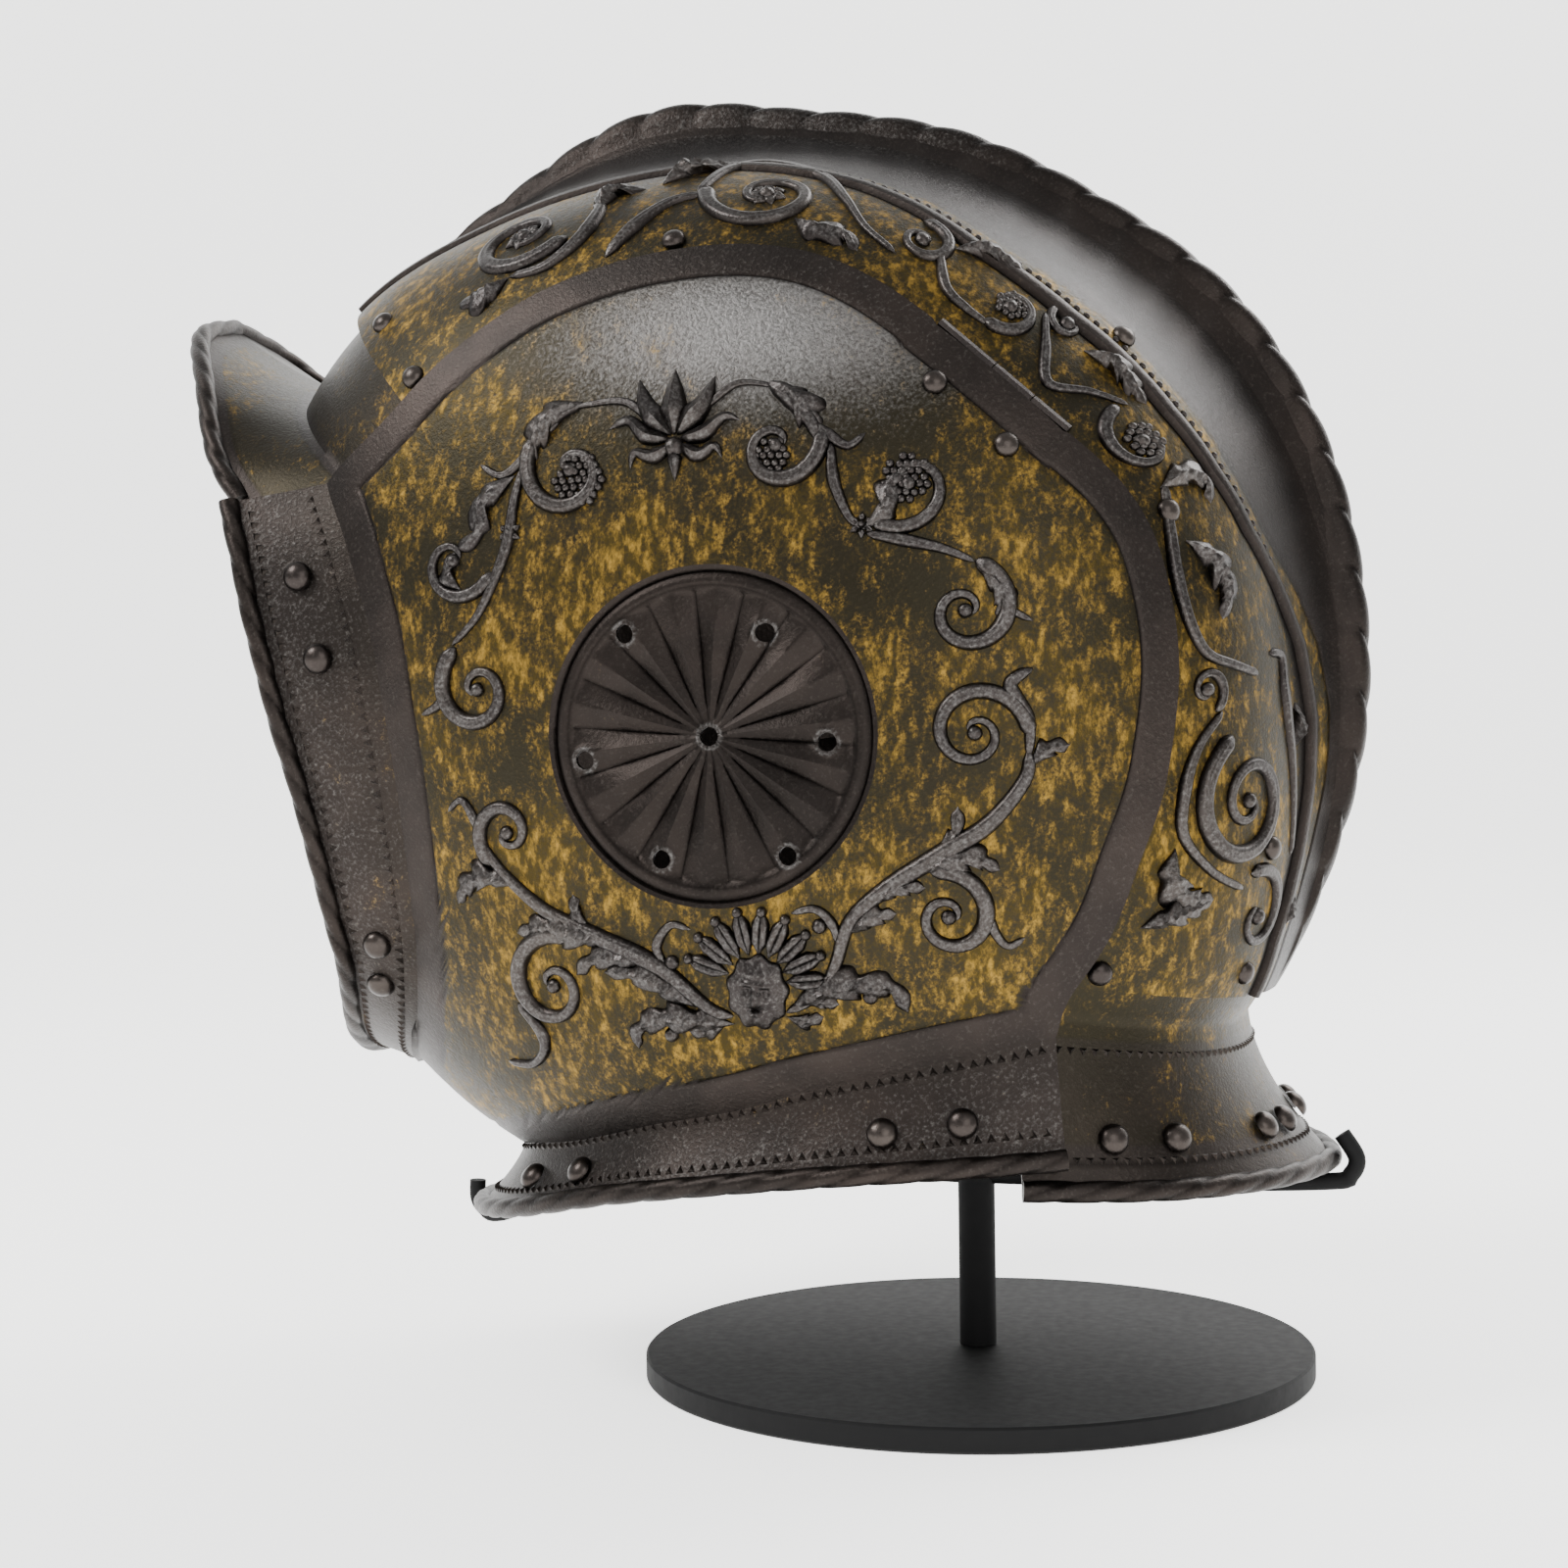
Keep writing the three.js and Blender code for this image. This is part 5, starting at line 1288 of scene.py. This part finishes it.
# %% The skull's frieze
MM_PER_DEGREE = 2.23
FRIEZE_SPIRALS = [
    # along, up, reach, start, sweep, width
    (-57, 27, 14.5, 130, 480, 3.0), (3, 22, 15.5, -75, -500, 3.0), (44, 20, 9.0, -20, 470, 2.4),
    (73, 17, 9.0, 200, -400, 2.4), (86, 26, 5.5, -60, -400, 1.8), (122, 13, 11.5, -75, -380, 2.6),
    (190, 8, 7.0, 60, -420, 2.0), (219, 28, 19.0, 240, -620, 3.4), (247, 44, 13.0, 230, 380, 2.4),
]
FRIEZE_STEMS = [
    (3.0, [(-40, 30), (-38, 26), (-42, 15), (-52, 9), (-62, 12)]),
    (3.0, [(-36, 4), (-28, 13), (-20, 21), (-12, 23)]),
    (2.6, [(-14, 24), (-10, 40), (-3, 47), (12, 38), (22, 24), (30, 15), (40, 11)]),
    (2.4, [(49, 20), (56, 10), (64, 8), (72, 8)]),
    (2.2, [(80, 24), (86, 16), (95, 6), (104, 13), (112, 19)]),
    (2.8, [(134, 10), (145, 5), (156, 2), (170, 3), (180, 8), (184, 18), (187, 29)]),
    (2.4, [(182, 35), (183, 42), (190, 43), (199, 46), (212, 51), (232, 56)]),
    (2.6, [(196, 14), (205, 7), (217, 5), (230, 8), (238, 20), (241, 34)]),
]
FRIEZE_LEAVES = [
    (7.0, 3, [(-38, 26), (-36, 34), (-28, 33)]), (8.0, 4, [(-24, 34), (-19, 41), (-7, 44)]),
    (6.0, 3, [(12, 12), (18, 8), (26, 9), (31, 6)]),
    (6.5, 4, [(94, 22), (100, 25), (107, 25), (114, 24)]),
    (6.0, 3, [(135, 8), (134, 17), (137, 23), (143, 22)]),
    (7.0, 4, [(150, 8), (156, 14), (164, 18), (172, 15)]),
    (7.0, 4, [(234, 7), (241, 8), (246, 14), (245, 24)]), (6.0, 4, [(258, 6), (251, 14), (245, 24)]),
    (6.0, 3, [(206, 50), (200, 54), (194, 52)]), (6.0, 3, [(-62, 12), (-70, 10), (-76, 14)]),
    (6.0, 4, [(52, 24), (58, 30), (66, 31), (72, 29)]), (6.0, 3, [(250, 58), (244, 62), (238, 60)]),
]


def frieze_face(along, up):
    """Point of the frieze: the turn is along / 2.23, and the swing goes from the cheekpiece's edge
    towards the fillet by the share of the arc between them that the height makes up."""
    turn = along / MM_PER_DEGREE
    fillet = np.interp(turn, FILLET[:, 0], FILLET[:, 1]) + FILLET_HALF
    high, low = swing_beside(turn, fillet), swing_at(turn, cheek_reach(turn))
    steps = np.linspace(0, 1, 9).reshape(-1, *[1] * turn.ndim)
    arc = np.linalg.norm(np.diff(shell(turn, lerp(low, high, steps)), axis=0), axis=-1).sum(0)
    return shell(turn, lerp(low, high, up / arc))


frieze = foliage(FRIEZE_SPIRALS, FRIEZE_STEMS, FRIEZE_LEAVES, 0.7, (2.2, 2.0))
frieze += [cluster(122, 14, 6.0, 1.3), cluster(73, 18, 4.2, 1.1)]
frieze += rosebud(-57, 27, 5.0, 7) + rosebud(3, 22, 5.0, 7)
frieze = drape(frieze, frieze_face)
frieze += [flipped(body) for body in frieze]
build("skull_frieze", frieze, relief_steel, "helmet", crease=60)


def band_face(turn, x):
    """Point of the form at a distance from the mid-plane."""
    return shell(turn, swing_beside(turn, x))


pearl_turn = np.arange(-42, 100, 1.35)
pearl_x = np.interp(pearl_turn, FILLET[:, 0], FILLET[:, 1]) - FILLET_HALF - 1.7
pearls = domes(*spot(band_face, pearl_turn, pearl_x), 0.95, 0.8, 6)
build("bead_band_pearls", [pearls, flipped(pearls)], relief_steel, "helmet")

# %% [markdown]
# The peak shades the brow. Its band goes in under the skull's front edge, its brim runs forward from
# a crease, and its edge is roped like the others.

# %% The peak
PEAK_MIDDLE, PEAK_TEMPLE, PEAK_BAND, PEAK_TUCK, PEAK_DISH = -54.5, -57.6, 12.5, 5.0, 2.0
PEAK_RIM = np.array([
    # x, y, z from the middle to the temple
    (0, -213.5, 288.5), (27, -210, 282.5), (51, -197, 265.5), (66, -186.5, 246), (71, -177, 233),
])


def peak_point(side, out):
    """Side runs from temple to temple; out runs from the seam (-1) over the crease (0) to the edge
    (1), straight to the rim's curve with a shallow dish of half a sine."""
    side, out = np.broadcast_arrays(np.asarray(side, float), np.asarray(out, float))
    k = np.abs(side)
    turn = lerp(PEAK_MIDDLE, PEAK_TEMPLE, k) - np.minimum(out, 0) * PEAK_BAND
    end = swing_at(turn, cheek_reach(turn) - PEAK_TUCK, -BROW_SINK)
    crease = shell(turn, lerp(90, end, k), -BROW_SINK)
    rim = curve(PEAK_RIM, k * (len(PEAK_RIM) - 1))
    point = lerp(crease, rim, np.maximum(out, 0)[..., None])
    point[..., 2] -= PEAK_DISH * (1 - k**2) * np.sin(np.pi * np.maximum(out, 0))
    point[..., 0] *= np.sign(side) + (side == 0)
    return point


peak_rows = np.concatenate([np.linspace(-1, 0, 13), np.linspace(0, 1, 29)[1:]])
peak_side, peak_out = np.meshgrid(np.linspace(-1, 1, 161), peak_rows)
peak_plain = peak_point(peak_side, peak_out)
peak_gilt = np.select([peak_out < 0, peak_out < 0.1, peak_out < 0.8], [0.55, 0.2, 0.65], 0.2)
peak_groove = np.exp(-(((peak_out - 0.1) / 0.02) ** 2)) + np.exp(-(((peak_out - 0.8) / 0.02) ** 2))
peak_bodies = [outward_plate(peak_plain, peak_plain, gilt=peak_gilt, groove=0.6 * peak_groove),
               rope(peak_point(np.linspace(-1, 1, 400), 1.0))]
build("peak_plate", peak_bodies, plate_steel, "helmet", ["peak"])

# %% [markdown]
# The neck guard hangs under the back of the skull: it goes straight down to a waist and then flares
# out to its roped rim. One toothed row marks its waist and another runs above the rope.

# %% The neck guard
GUARD_HALF, GUARD_TUCK, GUARD_WAIST, GUARD_FLARE = 55.0, 10.0, 8.5, 1.7


def guard_top(turn, drop):
    """Point where the sunk form meets a plane that falls with the skull's lower edge, at a turn
    about the neck's axis, found by halving."""
    near, far = np.full(turn.shape, NECK_AXIS_Y), np.full(turn.shape, NAPE_Y + 40.0)
    for _ in range(40):
        y = (near + far) / 2
        z = NAPE_Z + NAPE_SLOPE * (y - NAPE_Y) + drop
        point = on_shell(y - EAR[0], z - EAR[1], -GUARD_SINK)
        inside = np.abs(point[..., 2] - z) < 1e-6
        before = inside & (np.degrees(np.arctan2(point[..., 0], point[..., 1] - NECK_AXIS_Y)) > turn)
        near, far = np.where(before, y, near), np.where(before, far, y)
    return point


def guard_point(turn, down):
    """Down runs from the hidden top (-1) to the waist (0) and on to the rim (1); below the waist
    the reach grows as down^1.7 and the height falls straight."""
    turn, down = np.broadcast_arrays(np.asarray(turn, float), np.asarray(down, float))
    k = np.abs(turn)
    top = guard_top(k, lerp(-GUARD_WAIST, GUARD_TUCK, np.maximum(-down, 0)))
    waist = guard_top(k, np.full(k.shape, -GUARD_WAIST))
    rim = curve(NECK, k / 30)
    share = np.maximum(down, 0)
    reach = lerp(np.hypot(waist[..., 0], waist[..., 1] - NECK_AXIS_Y), rim[..., 2], share**GUARD_FLARE)
    low = np.stack([reach * np.sin(np.radians(k)), NECK_AXIS_Y + reach * np.cos(np.radians(k)),
                    lerp(waist[..., 2], rim[..., 3], share)], -1)
    point = np.where((down > 0)[..., None], low, top)
    point[..., 0] *= np.sign(turn) + (turn == 0)
    return point


guard_rows = np.concatenate([np.linspace(-1, 0, 9), np.linspace(0, 1, 33)[1:]])
guard_turn, guard_down = np.meshgrid(np.linspace(-GUARD_HALF, GUARD_HALF, 161), guard_rows)
guard_plain = guard_point(guard_turn, guard_down)
guard_gilt = np.select([guard_down < 0.12, guard_down < 0.75], [0.75, 0.5], 0.3)
guard_groove = 0.7 * np.exp(-(((guard_down - 0.84) / 0.015) ** 2))
guard_bodies = [outward_plate(guard_plain, guard_plain, gilt=guard_gilt, groove=guard_groove),
                rope(guard_point(np.linspace(-GUARD_HALF, GUARD_HALF, 400), 1.0))]
row_turns = np.linspace(-GUARD_HALF + 1, GUARD_HALF - 1, 300)
for down in (0.16, 0.8):
    line, normals = spot(guard_point, row_turns, np.full(300, down))
    inward = np.einsum("ij,ij->i", normals, line - [0, NECK_AXIS_Y, 80]) < 0
    guard_bodies.append(teeth(line, np.where(inward[:, None], -normals, normals), 3.2, 2.6, 1))
build("neck_guard_plate", guard_bodies, plate_steel, "helmet", ["neck_guard"])

# %% [markdown]
# The rivets' heads were hammered round, so each is turned again as a smooth dome where the CAD has
# its few-sided one: the direction in which the CAD's head is flattest is its axis.

# %% Rivets


def rivet_domes(names):
    """Smooth domes: the axis is the direction of least spread of the CAD head's points, the base their
    lowest level along it, and the profile sqrt(1 - r^2)."""
    bases, normals, sizes = [], [], []
    for name in names:
        mesh = frame["nodes"][name].data
        points = np.empty(3 * len(mesh.vertices), np.float32)
        mesh.vertices.foreach_get("co", points)
        points = points.reshape(-1, 3).astype(float) / MM
        middle = points.mean(0)
        axis = np.linalg.svd(points - middle)[2][-1]
        axis = axis * np.sign(axis @ (middle - [0, EAR[0], min(EAR[1], middle[2] + 60)]))
        level = (points - middle) @ axis
        foot = points[level < level.min() + 0.05].mean(0)
        bases.append(foot)
        normals.append(axis)
        sizes.append((np.linalg.norm(np.cross(points - foot, axis), axis=1).max(), np.ptp(level)))
    bodies = []
    for size in sorted({tuple(np.round(size, 1)) for size in sizes}):
        chosen = [k for k, own in enumerate(sizes) if tuple(np.round(own, 1)) == size]
        bodies.append(domes(np.array(bases)[chosen], np.array(normals)[chosen], *size, 24, HALF_ROUND))
    return bodies


riveted = set()
for body_name, pieces in frame["record"]["behaviour"]["bodies"].items():
    names = sorted(name for name in pieces if "rivet" in name)
    riveted.update(names)
    build(f"rivets_{body_name}", rivet_domes(names), rivet_metal, body_name, names)

# %% [markdown]
# The stand is smooth where the CAD has flat facets: the base is a turned disc with a small bevel,
# and the rod is the rope's function without its grooves, bent round both rims as in the CAD. Black
# paint hides its steel. The hinges are taken from the CAD as they are and get the reliefs' steel.

# %% The stand
BASE_RADIUS, BASE_HEIGHT, BASE_BEVEL = 89.0, 6.5, 0.6
POST_RADIUS, ROD_RADIUS, ROD_Z, ROD_BEND, ROD_CLEAR, JOINT_GAP = 4.9, 2.25, 52.0, 60.0, 1.25, 0.3
FRONT_HOOK = np.array([(-1, 0.5), (-1, -0.3), (-0.7, -0.75), (0, -1), (2.9, -0.2)])
REAR_HOOK = np.array([(0, -1), (0.75, -0.7), (1, 0), (0.4, 1)])


def black_paint():
    """Matt black brushed paint on steel: metallic 0, typical IOR 1.5, roughness about 0.55, with
    faint brush marks 3 mm apart."""
    material = bpy.data.materials.new("matt_black_paint")
    material.use_nodes = True
    tree = material.node_tree
    shader = tree.nodes["Principled BSDF"]
    place = add(tree, "ShaderNodeTexCoord").outputs["Object"]
    marks = add(tree, "ShaderNodeTexNoise", {"Vector": place, "Scale": per_mm(3.0),
                                             "Detail": 3.0}).outputs["Fac"]
    tone = add(tree, "ShaderNodeMix", {"Factor": marks, 6: colour("#060606"), 7: colour("#0e0e0f")},
               data_type="RGBA").outputs[2]
    tree.links.new(tone, shader.inputs["Base Color"])
    gloss = add(tree, "ShaderNodeMapRange", {"Value": marks, "To Min": 0.62, "To Max": 0.8})
    tree.links.new(gloss.outputs["Result"], shader.inputs["Roughness"])
    shader.inputs["IOR"].default_value = 1.5
    shader.inputs["Specular IOR Level"].default_value = 0.2
    bump = add(tree, "ShaderNodeBump", {"Height": marks, "Strength": 0.2, "Distance": 0.0003})
    tree.links.new(bump.outputs["Normal"], shader.inputs["Normal"])
    return material


def turned(profile, sides=128):
    """Closed body turned about the Z axis from a profile of radius and height."""
    angle = 2 * np.pi * np.arange(sides) / sides
    radius, height = np.array(profile, float).T[..., None]
    return tube(np.stack([radius * np.cos(angle), radius * np.sin(angle), height + 0 * angle], -1))


def stand_rod():
    """Route of the rod in the mid-plane: hook, straight stretch, hook, as a smooth curve."""
    off = ROPE + ROD_CLEAR + ROD_RADIUS
    front = np.array([NECK_AXIS_Y - NECK[-1, 0], NECK[-1, 1]]) + off * FRONT_HOOK
    rear = np.array([NECK_AXIS_Y + NECK[0, 2], NECK[0, 3]]) + off * REAR_HOOK
    middle = [(-ROD_BEND, ROD_Z), (0, ROD_Z), (ROD_BEND, ROD_Z)]
    return smooth(np.concatenate([front, middle, rear]))


route = np.pad(stand_rod(), ((0, 0), (1, 0)))
rod = rope(route, ROD_RADIUS, depth=0.0, up=(1, 0, 0))
post = turned([(POST_RADIUS, BASE_HEIGHT + JOINT_GAP), (POST_RADIUS, ROD_Z)], sides=48)
inner_radius = BASE_RADIUS - BASE_BEVEL
base = turned([(inner_radius, 0), (BASE_RADIUS, BASE_BEVEL), (BASE_RADIUS, BASE_HEIGHT - BASE_BEVEL),
               (inner_radius, BASE_HEIGHT)])
stand_paint = black_paint()
build("stand_rod_and_post", [rod, post], stand_paint, "helmet", ["stand_frame"])
build("stand_disc", [base], stand_paint, "helmet", ["stand_base"], crease=30)
replaced = riveted | {"stand_base", "stand_frame", "skull", "peak", "neck_guard"}
replaced |= {"cheekpiece_left", "cheekpiece_right"}
for name, node in frame["nodes"].items():
    if name in replaced:
        continue
    node.data.materials.clear()
    node.data.materials.append(relief_steel)
print("carried over:", len(frame["nodes"]) - len(replaced), "CAD pieces")

# %% [markdown]
# The new surfaces may stand only a few millimetres proud of the solids they are drawn round. At the end the
# view layer is brought up to date.

# %% Finish
bpy.context.view_layer.update()
